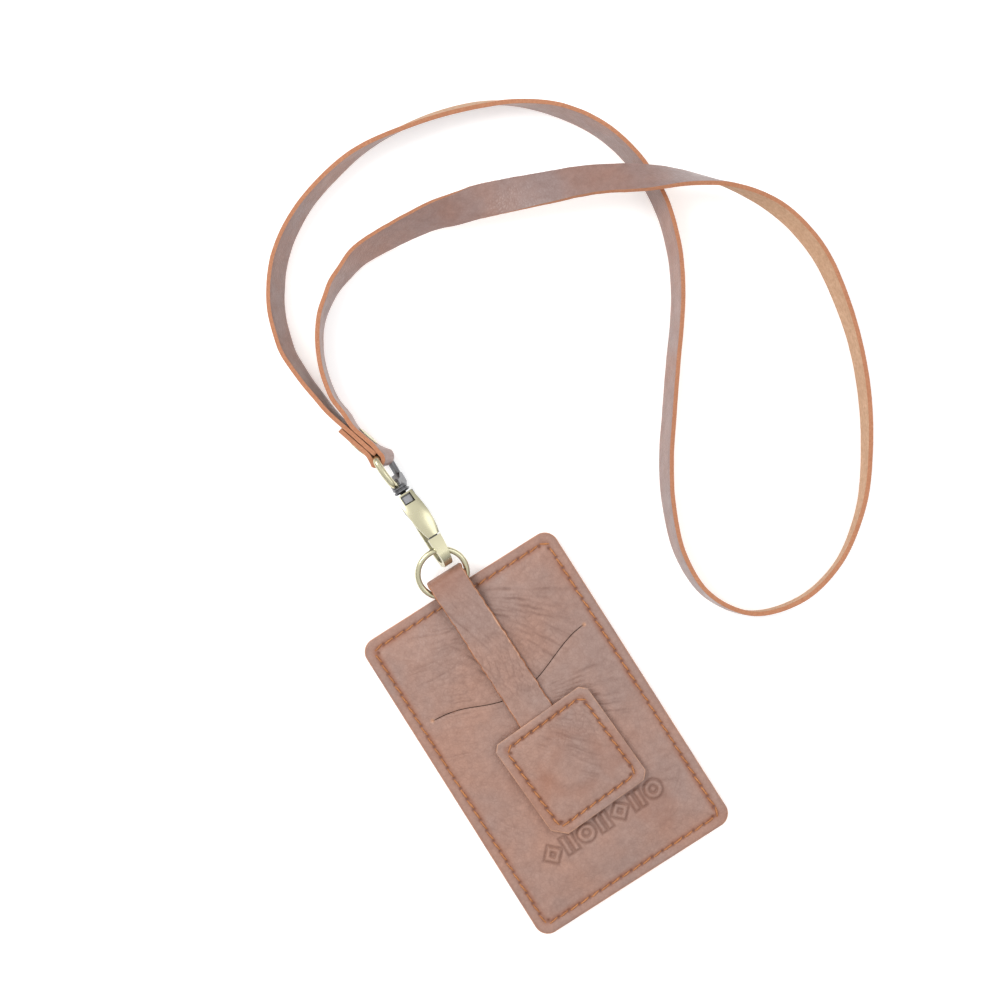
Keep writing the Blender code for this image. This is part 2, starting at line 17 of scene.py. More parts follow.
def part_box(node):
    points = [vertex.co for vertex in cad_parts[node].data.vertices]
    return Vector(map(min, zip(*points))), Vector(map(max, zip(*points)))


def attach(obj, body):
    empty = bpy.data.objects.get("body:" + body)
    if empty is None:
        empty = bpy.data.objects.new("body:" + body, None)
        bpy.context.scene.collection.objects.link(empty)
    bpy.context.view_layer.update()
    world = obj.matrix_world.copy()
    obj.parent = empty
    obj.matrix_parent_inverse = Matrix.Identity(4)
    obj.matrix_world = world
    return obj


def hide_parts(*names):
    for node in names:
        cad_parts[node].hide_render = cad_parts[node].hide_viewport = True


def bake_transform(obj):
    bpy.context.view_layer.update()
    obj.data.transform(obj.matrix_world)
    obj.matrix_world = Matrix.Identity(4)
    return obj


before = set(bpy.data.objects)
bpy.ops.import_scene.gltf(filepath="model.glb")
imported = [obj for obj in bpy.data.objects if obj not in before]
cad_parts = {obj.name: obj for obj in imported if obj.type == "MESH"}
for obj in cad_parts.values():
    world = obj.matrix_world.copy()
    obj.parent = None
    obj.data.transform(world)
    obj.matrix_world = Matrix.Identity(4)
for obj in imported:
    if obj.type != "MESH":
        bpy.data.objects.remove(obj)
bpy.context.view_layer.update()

MM = 0.001
BACK_LOW, BACK_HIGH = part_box("back_panel")
HOLDER_Y = (BACK_LOW.y + BACK_HIGH.y) / 2 / MM

# ---- holder: outline, heights, stitch line, window, card slit and pressed row -------
HOLDER_W = 72.0
HOLDER_L = 110.0
HOLDER_R = 4.5
LEATHER = 1.2
BACK_TOP = 1.3
RIM_TOP = 3.8
FRONT_TOP = 6.3
STITCH_INSET = 3.3
STITCH_PITCH = 3.95
GROOVE = 0.32
GROOVE_W = 0.75
THREAD_R = 0.29
WINDOW_W = 48.0
WINDOW_L = 76.0
SLIT_Y = 22.7
SLIT_HALF = 28.7
SLIT_DIP = 7.4
SLIT_GAP = 0.24
SLIT_SPREAD = 18.0
FRONT_GRID = 0.30
BACK_GRID = 0.6
MARK_ROW = ("diamond", "bars", "ring", "bars", "diamond", "bars", "ring")
MARK_PITCH = 6.35
MARK_X = 0.2
MARK_Y = -33.3
MARK_AIM = 0.8

# ---- tab and patch ---------------------------------------------------------------
TAB_X = -0.6
TAB_DRIFT = 0.9
TAB_W = 12.5
TAB_T = 1.15
TAB_FOLD_Y = 57.15
TAB_FOLD_Z = 5.15
TAB_FOLD_R = 3.15
PATCH_X = 1.8
PATCH_Y = -11.5
PATCH_W = 35.5
PATCH_L = 36.0
PATCH_CUTS = {(1, 1): 2.1, (-1, 1): 1.9, (1, -1): 2.2, (-1, -1): 4.0}
PATCH_TURN = 3.0
PATCH_GRID = 0.3
PATCH_RIM = 8.9
PATCH_STITCH_INSET = 3.0
PATCH_PITCH = 3.5

# ---- ring, hook and its lever, the swivel's eye, strap and rivet ----------------------
RING_R = 7.9
RING_WIRE = 0.93
RING_X = -0.7
RING_SOUTH_Y = 53.4
RING_SOUTH_Z = 4.85
RING_TILT = math.radians(20.0)
CLASP_X = 2.4
CLASP_Z = 8.6
HOOK_Y = 67.5
HOOK_Z = 8.3
HOOK_OUT = 5.5
HOOK_IN = 3.8
HOOK_DARK_FROM = 76.5
PIVOT_Y = 81.5
PIVOT_Z = 10.2
HOOK_ROLL = 11.0
LEVER_SKEW = 0.075
EYE_LEAN = 15.0
STACK_LEAN = 5.0
EYE_WIRE = 1.0
EYE_BAR_Y = 102.3
STRAP_W = 10.8
STRAP_T = 1.6
LAYER_STEP = 1.68
RIVET_X = 0.3
RIVET_Y = 109.6
RIVET_CAP = 3.7
EDGE_ROUND = 0.10

TABLE_Z = -0.2

# Camera place and aim in metres, and its turn about the line of sight.
CAMERA_AT = Vector((0.0153, 0.0354, 0.5545))
CAMERA_AIM = Vector((0.0274, 0.0467, 0.0))
CAMERA_ROLL = math.radians(32.36)
CAMERA_LENS = 61.8

# The strap's middle in metres in the holder's axes, and its lean from upright in degrees,
# positive to the right of the direction of travel: from the rivet round the loop to the eye.
STRAP_ROUTE = [
    (-0.0031, 0.1226, 0.0078, -9), (-0.0039, 0.1287, 0.0071, -11), (-0.0046, 0.1348, 0.0059, -13),
    (-0.0049, 0.1406, 0.0055, -15), (-0.0049, 0.1462, 0.0054, -17), (-0.0040, 0.1510, 0.0054, -18),
    (-0.0010, 0.1601, 0.0054, -19), (0.0037, 0.1679, 0.0054, -19), (0.0098, 0.1749, 0.0054, -17),
    (0.0181, 0.1809, 0.0054, -13), (0.0285, 0.1857, 0.0055, -8), (0.0418, 0.1890, 0.0055, -4),
    (0.0520, 0.1899, 0.0055, 4), (0.0630, 0.1890, 0.0054, 13), (0.0766, 0.1864, 0.0054, 19),
    (0.0900, 0.1818, 0.0054, 19), (0.1010, 0.1755, 0.0055, 8), (0.1112, 0.1660, 0.0055, -6),
    (0.1190, 0.1534, 0.0055, -11), (0.1226, 0.1387, 0.0054, -13), (0.1222, 0.1238, 0.0054, -14),
    (0.1181, 0.1096, 0.0054, -13), (0.1128, 0.0989, 0.0054, -12), (0.1067, 0.0897, 0.0054, -12),
    (0.0972, 0.0774, 0.0054, -13), (0.0879, 0.0650, 0.0054, -13), (0.0789, 0.0526, 0.0054, -13),
    (0.0716, 0.0392, 0.0055, -10), (0.0667, 0.0245, 0.0055, -7), (0.0672, 0.0094, 0.0055, -3),
    (0.0760, -0.0030, 0.0055, 0), (0.0915, -0.0076, 0.0055, -1), (0.1069, -0.0047, 0.0055, -4),
    (0.1198, 0.0034, 0.0055, -3), (0.1305, 0.0146, 0.0055, 0), (0.1428, 0.0338, 0.0055, 3),
    (0.1515, 0.0546, 0.0055, 5), (0.1563, 0.0770, 0.0054, 10), (0.1558, 0.0920, 0.0057, 10),
    (0.1516, 0.1046, 0.0072, 6), (0.1429, 0.1162, 0.0112, -9), (0.1316, 0.1251, 0.0154, -32),
    (0.1197, 0.1322, 0.0169, -57), (0.1067, 0.1401, 0.0154, -66), (0.0913, 0.1469, 0.0132, -78),
    (0.0743, 0.1538, 0.0108, -102), (0.0654, 0.1566, 0.0094, -124), (0.0565, 0.1593, 0.0078, -141),
    (0.0428, 0.1611, 0.0062, -150), (0.0316, 0.1614, 0.0057, -156), (0.0243, 0.1593, 0.0055, -165),
    (0.0192, 0.1574, 0.0054, -169), (0.0151, 0.1547, 0.0054, -174), (0.0112, 0.1518, 0.0054, -176),
    (0.0080, 0.1483, 0.0054, -178), (0.0054, 0.1444, 0.0054, -178), (0.0032, 0.1401, 0.0055, -178),
    (0.0016, 0.1356, 0.0057, -177), (0.0005, 0.1307, 0.0068, -176), (-0.0001, 0.1256, 0.0075, -175),
    (0.0005, 0.1201, 0.0082, -174),
]

# ---- colours -----------------------------------------------------------------------
LEATHER_WARM = (0.400, 0.222, 0.165)
LEATHER_COOL = (0.345, 0.224, 0.188)
# LEATHER_DARK is the leather's darker tone, and also the colour the tone attribute mixes towards as painted
# shade in creases, needle holes and grooves.
LEATHER_DARK = (0.128, 0.055, 0.036)
STRAP_WARM = (0.325, 0.180, 0.140)
STRAP_COOL = (0.29, 0.205, 0.19)
WARM_EDGE = (0.27, 0.100, 0.052)
RAW_EDGE = (0.68, 0.36, 0.21)
THREAD = (0.60, 0.255, 0.09)
THREAD_DARK = (0.30, 0.105, 0.035)
BRASS = (0.60, 0.565, 0.39)
BRASS_DULL = (0.44, 0.40, 0.26)
STEEL = (0.34, 0.34, 0.36)


# ---- noise -----------------------------------------------------------------------
def hashed(ix, iy, seed):
    """A repeatable number from -1 to 1 for each whole-number place."""
    h = (ix * 374761393 + iy * 668265263 + seed * 974634777) & 0xFFFFFFFF
    h = ((h ^ (h >> 13)) * 1274126177) & 0xFFFFFFFF
    h = h ^ (h >> 16)
    return h / 2147483647.5 - 1.0


def noise(x, y, seed=0):
    """Smooth noise from -1 to 1, one bump per unit."""
    x = np.asarray(x, float)
    y = np.asarray(y, float)
    ix = np.floor(x).astype(np.int64)
    iy = np.floor(y).astype(np.int64)
    fx = x - ix
    fy = y - iy
    fx = fx * fx * (3 - 2 * fx)
    fy = fy * fy * (3 - 2 * fy)
    low = hashed(ix, iy, seed) * (1 - fx) + hashed(ix + 1, iy, seed) * fx
    high = hashed(ix, iy + 1, seed) * (1 - fx) + hashed(ix + 1, iy + 1, seed) * fx
    return low * (1 - fy) + high * fy


def layered(x, y, seed=0, octaves=3):
    """Noise with finer and finer detail, roughly -1 to 1."""
    total = 0.0
    for k in range(octaves):
        total = total + noise(x * 2 ** k, y * 2 ** k, seed + k) / 2 ** k
    return total / 1.6


def cells(x, y, seed=0):
    """0 on the borders between scattered cells, rising towards 1 inside them."""
    ix = np.floor(x).astype(np.int64)
    iy = np.floor(y).astype(np.int64)
    first = np.full(np.shape(x), 9.0)
    second = np.full(np.shape(x), 9.0)
    for dx in (-1, 0, 1):
        for dy in (-1, 0, 1):
            px = ix + dx + 0.5 + 0.42 * hashed(ix + dx, iy + dy, seed)
            py = iy + dy + 0.5 + 0.42 * hashed(ix + dx, iy + dy, seed + 7)
            d = np.hypot(x - px, y - py)
            second = np.where(d < first, first, np.minimum(second, d))
            first = np.minimum(first, d)
    return np.clip((second - first) / 0.35, 0.0, 1.0)


def ramp(value, low, high):
    """0 below low, 1 above high, smooth between."""
    t = np.clip((value - low) / (high - low), 0.0, 1.0)
    return t * t * (3 - 2 * t)


def bump(distance, width):
    """1 at zero distance, falling smoothly to 0 a few widths away."""
    return np.exp(-(distance / width) ** 2)


# ---- mesh helpers ------------------------------------------------------------------
def to_frame(points):
    """Holder millimetres to frame metres."""
    out = np.array(points, float)
    out[:, 1] += HOLDER_Y
    return out * MM


@contextmanager
def editing(mesh):
    """A mesh opened for editing and written back afterwards."""
    bm = bmesh.new()
    bm.from_mesh(mesh)
    yield bm
    bm.to_mesh(mesh)
    bm.free()


def between_materials(edge):
    """Whether an edge parts two faces of different materials."""
    first, second = edge.link_faces
    return first.material_index != second.material_index


def sharpen(mesh, picked=between_materials):
    """Leaves the picked edges unsmoothed."""
    with editing(mesh) as bm:
        for edge in bm.edges:
            if len(edge.link_faces) == 2 and picked(edge):
                edge.smooth = False


def sharpen_steep(mesh, degrees):
    """Leaves unsmoothed the edges where two faces meet at more than an angle."""
    sharpen(mesh, lambda edge: edge.calc_face_angle() > math.radians(degrees))


def mesh_piece(name, verts, faces, mats, face_mats=None, tone=None):
    """A smooth-shaded piece; faces take the material numbered for them, and edges
    between two materials stay sharp.  tone is one colour row per point."""
    mesh = bpy.data.meshes.new(name)
    mesh.from_pydata(to_frame(verts).tolist(), [], [list(map(int, f)) for f in faces])
    for mat in mats:
        mesh.materials.append(mat)
    if face_mats is not None:
        mesh.polygons.foreach_set("material_index", np.array(face_mats, np.int32))
    mesh.polygons.foreach_set("use_smooth", np.ones(len(mesh.polygons), bool))
    if tone is not None:
        layer = mesh.color_attributes.new("tone", "FLOAT_COLOR", "POINT")
        rows = np.ones((len(verts), 4), np.float32)
        rows[:, :3] = tone
        layer.data.foreach_set("color", rows.ravel())
    with editing(mesh) as bm:
        bmesh.ops.recalc_face_normals(bm, faces=bm.faces)
    sharpen(mesh)
    obj = bpy.data.objects.new(name, mesh)
    bpy.context.scene.collection.objects.link(obj)
    return obj


def apply_modifiers(obj):
    """Bakes an object's modifiers into its mesh."""
    bpy.context.view_layer.update()
    graph = bpy.context.evaluated_depsgraph_get()
    mesh = bpy.data.meshes.new_from_object(obj.evaluated_get(graph))
    obj.modifiers.clear()
    obj.data = mesh


def skin(loops, closed=False, caps=True):
    """Verts and faces over equal loops of points."""
    count = len(loops[0])
    verts = [p for loop in loops for p in loop]
    faces = []
    spans = len(loops) if closed else len(loops) - 1
    for k in range(spans):
        near = k * count
        far = ((k + 1) % len(loops)) * count
        for i in range(count):
            j = (i + 1) % count
            faces.append([near + i, near + j, far + j, far + i])
    if caps and not closed:
        faces.append(list(range(count))[::-1])
        top = (len(loops) - 1) * count
        faces.append(list(range(top, top + count)))
    return verts, faces


def headings(points, closed=False):
    """The unit direction of travel at each point of a line."""
    last = len(points) - 1
    out = []
    for i in range(len(points)):
        if closed:
            way = points[(i + 1) % len(points)] - points[i - 1]
        else:
            way = points[min(i + 1, last)] - points[max(i - 1, 0)]
        out.append(way.normalized())
    return out


def circle(centre, side, up, radius, steps):
    """Points round a circle in the plane of two unit vectors."""
    turns = [2 * math.pi * k / steps for k in range(steps)]
    return [tuple(centre + radius * (math.cos(a) * side + math.sin(a) * up)) for a in turns]


def tube(path, radius, sides=16, closed=False):
    """Round wire along points."""
    pts = [Vector(p) for p in path]
    ways = headings(pts, closed)
    side = ways[0].orthogonal()
    loops = []
    for p, ahead in zip(pts, ways):
        side = (side - ahead * side.dot(ahead)).normalized()
        loops.append(circle(p, side, ahead.cross(side), radius, sides))
    return skin(loops, closed)


def turned(profile, centre, axis, steps=40):
    """Round solid; the profile is (radius, distance along the axis)."""
    axis = Vector(axis).normalized()
    side = axis.orthogonal().normalized()
    up = axis.cross(side)
    return skin([circle(Vector(centre) + axis * along, side, up, radius, steps) for radius, along in profile])


def side_prism(outline, x0, x1):
    """An outline in the YZ plane given width along x."""
    return skin([[(x0, y, z) for y, z in outline], [(x1, y, z) for y, z in outline]])


def arc(cy, cz, radius, start, end, steps):
    """Points on an arc in the YZ plane; angles in degrees from +Y towards +Z."""
    turns = [math.radians(start + (end - start) * i / steps) for i in range(steps + 1)]
    return [(cy + radius * math.cos(a), cz + radius * math.sin(a)) for a in turns]


def merge(parts):
    """One list of verts and faces from several."""
    verts = []
    faces = []
    for more_verts, more_faces in parts:
        base = len(verts)
        verts += list(more_verts)
        faces += [[base + i for i in face] for face in more_faces]
    return verts, faces


# ---- materials ---------------------------------------------------------------------
def add_node(tree, kind, **settings):
    """A new shader node; the settings are its inputs by name, or its own properties."""
    made = tree.nodes.new(kind)
    for key, value in settings.items():
        if key in made.inputs:
            made.inputs[key].default_value = value
        else:
            setattr(made, key, value)
    return made


def new_material(name, colour, roughness, metallic=0.0):
    """A material with its node tree and its shader."""
    mat = bpy.data.materials.new(name)
    mat.use_nodes = True
    shader = mat.node_tree.nodes["Principled BSDF"]
    shader.inputs["Base Color"].default_value = (*colour, 1.0)
    shader.inputs["Roughness"].default_value = roughness
    shader.inputs["Metallic"].default_value = metallic
    return mat, mat.node_tree, shader


def noise_node(tree, scale, detail=3.0, rough=0.5, stretch=None):
    """Noise over object space; scale is bumps per metre."""
    place = add_node(tree, "ShaderNodeTexCoord")
    source = place.outputs["Object"]
    if stretch:
        mapping = add_node(tree, "ShaderNodeMapping")
        mapping.inputs["Scale"].default_value = stretch
        tree.links.new(source, mapping.inputs["Vector"])
        source = mapping.outputs["Vector"]
    made = add_node(tree, "ShaderNodeTexNoise", Scale=scale, Detail=detail, Roughness=rough)
    tree.links.new(source, made.inputs["Vector"])
    return made.outputs["Fac"]


def grain_node(tree, scale):
    """Pebbled leather grain: 0 in the creases, 1 on the pebbles."""
    place = add_node(tree, "ShaderNodeTexCoord")
    warp = add_node(tree, "ShaderNodeTexNoise", Scale=scale * 0.6, Detail=2.0)
    mixed = add_node(tree, "ShaderNodeMixRGB", Fac=0.0012)
    mixed.blend_type = "ADD"
    tree.links.new(place.outputs["Object"], warp.inputs["Vector"])
    tree.links.new(place.outputs["Object"], mixed.inputs["Color1"])
    tree.links.new(warp.outputs["Color"], mixed.inputs["Color2"])
    made = add_node(tree, "ShaderNodeTexVoronoi", Scale=scale)
    made.feature = "DISTANCE_TO_EDGE"
    tree.links.new(mixed.outputs["Color"], made.inputs["Vector"])
    return remap(tree, made.outputs["Distance"], 0.0, 0.25, 0.0, 1.0)


def remap(tree, source, low, high, to_low, to_high):
    """A socket's value moved from one range to another."""
    made = add_node(tree, "ShaderNodeMapRange")
    for key, value in zip(("From Min", "From Max", "To Min", "To Max"), (low, high, to_low, to_high)):
        made.inputs[key].default_value = value
    tree.links.new(source, made.inputs["Value"])
    return made.outputs["Result"]


def blend_colour(tree, factor, first, second, mode="MIX"):
    """Mix of two colours, each a socket or a plain colour; factor is a socket or number."""
    made = add_node(tree, "ShaderNodeMixRGB")
    made.blend_type = mode
    for key, value in (("Fac", factor), ("Color1", first), ("Color2", second)):
        if isinstance(value, bpy.types.NodeSocket):
            tree.links.new(value, made.inputs[key])
        elif isinstance(value, tuple):
            made.inputs[key].default_value = (*value, 1.0)
        else:
            made.inputs[key].default_value = value
    return made.outputs["Color"]


def add_bump(tree, shader, layers):
    """Bump from (height socket, distance in metres, strength) layers."""
    normal = None
    for height, distance, strength in layers:
        made = add_node(tree, "ShaderNodeBump", Distance=distance, Strength=strength)
        tree.links.new(height, made.inputs["Height"])
        if normal is not None:
            tree.links.new(normal, made.inputs["Normal"])
        normal = made.outputs["Normal"]
    tree.links.new(normal, shader.inputs["Normal"])


def leather_material(name, warm, cool, roughness=0.5, toned=True, grain=750.0):
    """Grain side of the leather.  The tone attribute's red is painted shade: it darkens
    creases, needle holes and pressed grooves.  Its green warms the burnished edges and
    stitch lines, and its blue shows raw leather."""
    mat, tree, shader = new_material(name, warm, roughness)
    clouds = remap(tree, noise_node(tree, 45.0, 3.0, 0.55), 0.35, 0.65, 0.0, 1.0)
    colour = blend_colour(tree, clouds, warm, cool)
    mottle = remap(tree, noise_node(tree, 420.0, 4.0, 0.65), 0.3, 0.7, 0.0, 0.32)
    colour = blend_colour(tree, mottle, colour, LEATHER_DARK)
    grains = grain_node(tree, grain)
    in_grain = remap(tree, grains, 0.0, 0.5, 0.13, 0.0)
    colour = blend_colour(tree, in_grain, colour, LEATHER_DARK)
    if toned:
        tone = add_node(tree, "ShaderNodeAttribute", attribute_name="tone")
        split = add_node(tree, "ShaderNodeSeparateColor")
        tree.links.new(tone.outputs["Color"], split.inputs["Color"])
        colour = blend_colour(tree, split.outputs["Green"], colour, WARM_EDGE)
        # painted shade: the tone's red darkens creases, holes and grooves towards LEATHER_DARK
        colour = blend_colour(tree, split.outputs["Red"], colour, LEATHER_DARK)
        colour = blend_colour(tree, split.outputs["Blue"], colour, RAW_EDGE)
    tree.links.new(colour, shader.inputs["Base Color"])
    rough = remap(tree, noise_node(tree, 160.0, 3.0), 0.3, 0.7, roughness - 0.07, roughness + 0.09)
    tree.links.new(rough, shader.inputs["Roughness"])
    add_bump(tree, shader, [
        (grains, 0.00008, 0.55),
        (noise_node(tree, 2600.0, 2.0), 0.00004, 0.4),
        (noise_node(tree, 260.0, 3.0), 0.00025, 0.35),
    ])
    return mat


def fibre_material(name, light, dark, roughness, scale=1500.0):
    """Raw leather: cut edges and the flesh side, speckled with fibres."""
    mat, tree, shader = new_material(name, light, roughness)
    fine = remap(tree, noise_node(tree, scale, 4.0, 0.7), 0.35, 0.68, 0.0, 1.0)
    broad = remap(tree, noise_node(tree, 90.0, 2.0), 0.35, 0.65, 0.0, 0.35)
    colour = blend_colour(tree, fine, dark, light)
    colour = blend_colour(tree, broad, colour, dark)
    tree.links.new(colour, shader.inputs["Base Color"])
    add_bump(tree, shader, [(fine, 0.00012, 0.6)])
    return mat


def thread_material():
    """Waxed thread, speckled with its fibres."""
    mat, tree, shader = new_material("thread_waxed", THREAD, 0.55)
    fibres = remap(tree, noise_node(tree, 3000.0, 3.0, 0.7), 0.3, 0.7, 0.0, 1.0)
    along = remap(tree, noise_node(tree, 120.0, 2.0), 0.35, 0.65, 0.0, 0.5)
    colour = blend_colour(tree, fibres, THREAD_DARK, THREAD)
    colour = blend_colour(tree, along, colour, THREAD_DARK)
    tree.links.new(colour, shader.inputs["Base Color"])
    add_bump(tree, shader, [(fibres, 0.00005, 0.5)])
    return mat


def metal_material(name, bright, dull, roughness):
    """Worn metal with dull patches, finely brushed."""
    mat, tree, shader = new_material(name, bright, roughness, 1.0)
    patina = remap(tree, noise_node(tree, 50.0, 2.0, 0.4), 0.42, 0.70, 0.0, 0.45)
    colour = blend_colour(tree, patina, bright, dull)
    tree.links.new(colour, shader.inputs["Base Color"])
    rough = remap(tree, noise_node(tree, 300.0, 2.0), 0.3, 0.7, roughness - 0.03, roughness + 0.05)
    tree.links.new(rough, shader.inputs["Roughness"])
    brushed = noise_node(tree, 1500.0, 2.0, 0.5, (1.0, 0.05, 1.0))
    add_bump(tree, shader, [(brushed, 0.00001, 0.25)])
    return mat


def film_material():
    """The clear, slightly wavy window film."""
    mat, tree, shader = new_material("film_clear", (0.92, 0.94, 0.95), 0.08)
    shader.inputs["Alpha"].default_value = 0.3
    shader.inputs["IOR"].default_value = 1.53
    add_bump(tree, shader, [(noise_node(tree, 60.0, 2.0), 0.0003, 0.25)])
    return mat


LEATHER_MAT = leather_material("leather_grain", LEATHER_WARM, LEATHER_COOL)
STRAP_MAT = leather_material("leather_strap", STRAP_WARM, STRAP_COOL, 0.36, False, 900.0)
EDGE_MAT = fibre_material("leather_cut_edge", (0.525, 0.24, 0.13), (0.40, 0.16, 0.078), 0.8)
FLESH_MAT = fibre_material("leather_flesh", (0.60, 0.385, 0.25), (0.43, 0.25, 0.145), 0.85, 700.0)
LINING_MAT = fibre_material("lining_split", (0.22, 0.14, 0.10), (0.12, 0.07, 0.05), 0.9, 900.0)
THREAD_MAT = thread_material()
BRASS_MAT = metal_material("brass_antique", BRASS, BRASS_DULL, 0.27)
STEEL_MAT = metal_material("steel_plain", STEEL, (0.16, 0.16, 0.17), 0.38)
# Dark metal for the catch and the swivel's collar, web and post end; on the eye's far half and the hook's
# slotted end it is painted shade.
DARK_MAT = metal_material("brass_dark_and_painted_shade", (0.22, 0.22, 0.23), (0.07, 0.07, 0.075), 0.30)
FILM_MAT = film_material()


# ---- strap ---------------------------------------------------------------------------
def stack_tilt(lean):
    """The turn that leans an upright width over, in degrees, its top towards -X."""
    return Matrix.Rotation(-math.radians(lean), 3, "Y")


def strap_ends():
    """The rivet's middle, the eye's bar, and unit vectors along and across the riveted stack."""
    bar = Vector((CLASP_X, EYE_BAR_Y, CLASP_Z))
    rivet = Vector((RIVET_X, RIVET_Y, CLASP_Z))
    along = (rivet - bar).normalized()
    return rivet, bar, along, Vector((along.y, -along.x, 0))


def strap_stations():
    """Every station as (middle, lean in degrees) from the free end to the folded end."""
    rivet, bar, along, across = strap_ends()
    side = stack_tilt(STACK_LEAN) @ across * LAYER_STEP
    lean = STACK_LEAN * along.y
    start = [(rivet + along * k, -lean) for k in (-6.0, 0.0, 4.2)]
    route = []
    for x, y, z, tip in STRAP_ROUTE:
        turn = math.radians(tip)
        lowest = STRAP_W / 2 * abs(math.cos(turn)) + STRAP_T / 2 * abs(math.sin(turn))
        route.append((Vector((x / MM, y / MM, max(z / MM, lowest + 0.05))), tip))
    end = [(rivet + side + along * k, lean - 180) for k in (5.0, 0.0, -4.2)]
    radius = EYE_WIRE + STRAP_T / 2 + 0.4
    for i in range(12 + 1):
        a = math.radians(180 * i / 12)
        around = radius * (math.cos(a) * across - math.sin(a) * along)
        heading = math.cos(a) * along.y + math.sin(a) * across.y
        end.append((bar + stack_tilt(EYE_LEAN) @ around, EYE_LEAN * heading - 180))
    end += [(rivet - side + along * k, -lean - 180) for k in (-4.2, 0.0, 7.5)]
    return start + route + end


def catmull(p0, p1, p2, p3, t):
    """A point between p1 and p2 on the smooth curve through four points."""
    a = 2 * p1
    b = p2 - p0
    c = 2 * p0 - 5 * p1 + 4 * p2 - p3
    d = 3 * p1 - p0 - 3 * p2 + p3
    return 0.5 * (a + b * t + c * t * t + d * t * t * t)


def smooth_line(stations, spacing):
    """More stations, close together, on a smooth line through the given ones."""
    fine = []
    last = len(stations) - 1
    for i in range(last):
        four = [stations[min(max(i + k, 0), last)] for k in (-1, 0, 1, 2)]
        far = (stations[i + 1][0] - stations[i][0]).length
        parts = max(1, round(far / spacing))
        for k in range(parts):
            place = catmull(*[s[0] for s in four], k / parts)
            lean = catmull(*[s[1] for s in four], k / parts)
            fine.append((place, lean))
    fine.append(stations[last])
    return fine


def smooth_points(points, spacing):
    """Points close together on a smooth line through the given ones."""
    return [place for place, lean in smooth_line([(Vector(p), 0) for p in points], spacing)]


def band(stations, half_width, thickness, seed, ragged=0.1, spans=10, flare=0.0):
    """A strip of leather with slightly ragged cut edges.  stations are (middle, width
    direction, thickness direction).  Faces get 0 for the side the thickness points to,
    1 for the other side and 2 for the cut edges."""
    loops = []
    for i, (place, wide, thick) in enumerate(stations):
        run = i * 0.45
        nick_a = ragged * float(layered(run, 3.1, seed, 3))
        nick_b = ragged * float(layered(run, 8.7, seed + 5, 3))
        fray = 0.35 * ragged * float(noise(run * 1.7, 1.3, seed + 9))
        loop = []
        for side, narrower, tip in ((1, flare, nick_b + fray), (-1, 0.0, nick_a - fray)):
            for k in range(spans + 1):
                w = side * (-1 + 2 * k / spans)
                rim = thickness / 2 - (EDGE_ROUND if k in (0, spans) else 0.0)
                reach = half_width - narrower + (nick_b if w > 0 else nick_a) * abs(w) ** 8
                loop.append(place + wide * (w * reach) + thick * (side * rim))
            loop.append(place + wide * (side * (half_width + tip + EDGE_ROUND)))
        loops.append([tuple(p) for p in loop])
    verts, faces = skin(loops)
    around = [0] * spans + [2, 2] + [1] * spans + [2, 2]
    return verts, faces, around * (len(loops) - 1) + [2, 2]


def build_strap():
    """The strap, with its middle line and its length in metres."""
    fine = smooth_line(strap_stations(), 1.6)
    middles = [place for place, lean in fine]
    stations = []
    for (place, lean), ahead in zip(fine, headings(middles)):
        right = ahead.cross(Vector((0, 0, 1))).normalized()
        upright = right.cross(ahead)
        a = math.radians(lean)
        wide = math.cos(a) * upright + math.sin(a) * right
        stations.append((place, wide, -wide.cross(ahead)))
    verts, faces, numbers = band(stations, STRAP_W / 2 - EDGE_ROUND, STRAP_T, 3, 0.16)
    strap = mesh_piece("lanyard_leather", verts, faces, [STRAP_MAT, FLESH_MAT, EDGE_MAT], numbers)
    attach(strap, "lanyard")
    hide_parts("lanyard_strap")
    length = sum((b - a).length for a, b in zip(middles, middles[1:])) * MM
    return strap, [tuple(p) for p in to_frame(middles)], length


def build_rivet():
    """Two flat domed caps, one on each side of the riveted stack."""
    middle, bar, along, across = strap_ends()
    across = stack_tilt(STACK_LEAN) @ across
    reach = LAYER_STEP + STRAP_T / 2 + 0.02
    dome = [(RIVET_CAP * 0.3, -0.05), (RIVET_CAP - 0.08, 0.0), (RIVET_CAP, 0.08), (RIVET_CAP, 0.16)]
    dome += [(RIVET_CAP - 0.1, 0.24), (3.0, 0.36), (2.3, 0.46), (1.4, 0.52), (0.05, 0.55)]
    made = []
    ends = (("rivet_dome_right", "rivet_cap_front", 1), ("rivet_dome_left", "rivet_cap_back", -1))
    for name, node, side in ends:
        cap = mesh_piece(name, *turned(dome, middle + across * reach * side, across * side), [BRASS_MAT])
        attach(cap, "lanyard")
        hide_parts(node)
        made.append(cap)
    return made


# ---- camera, light and table ---------------------------------------------------------
def build_camera():
    """A camera looking down, turned about its line of sight."""
    data = bpy.data.cameras.new("camera")
    data.lens = CAMERA_LENS
    data.sensor_width = 36.0
    data.clip_end = 10.0
    camera = bpy.data.objects.new("camera", data)
    back = (CAMERA_AT - CAMERA_AIM).normalized()
    up = Vector((math.sin(CAMERA_ROLL), math.cos(CAMERA_ROLL), 0.0))
    right = up.cross(back).normalized()
    up = back.cross(right)
    turn = Matrix((right, up, back)).transposed().to_4x4()
    camera.matrix_world = Matrix.Translation(CAMERA_AT) @ turn
    bpy.context.scene.collection.objects.link(camera)
    bpy.context.scene.camera = camera


def area_light(name, place, aim, size, power, tint):
    """A round lamp; place and size in metres."""
    data = bpy.data.lights.new(name, "AREA")
    data.shape = "DISK"
    data.size = size
    data.energy = power
    data.color = tint
    light = bpy.data.objects.new(name, data)
    light.location = place
    light.rotation_euler = (Vector(place) - Vector(aim)).to_track_quat("Z", "Y").to_euler()
    bpy.context.scene.collection.objects.link(light)


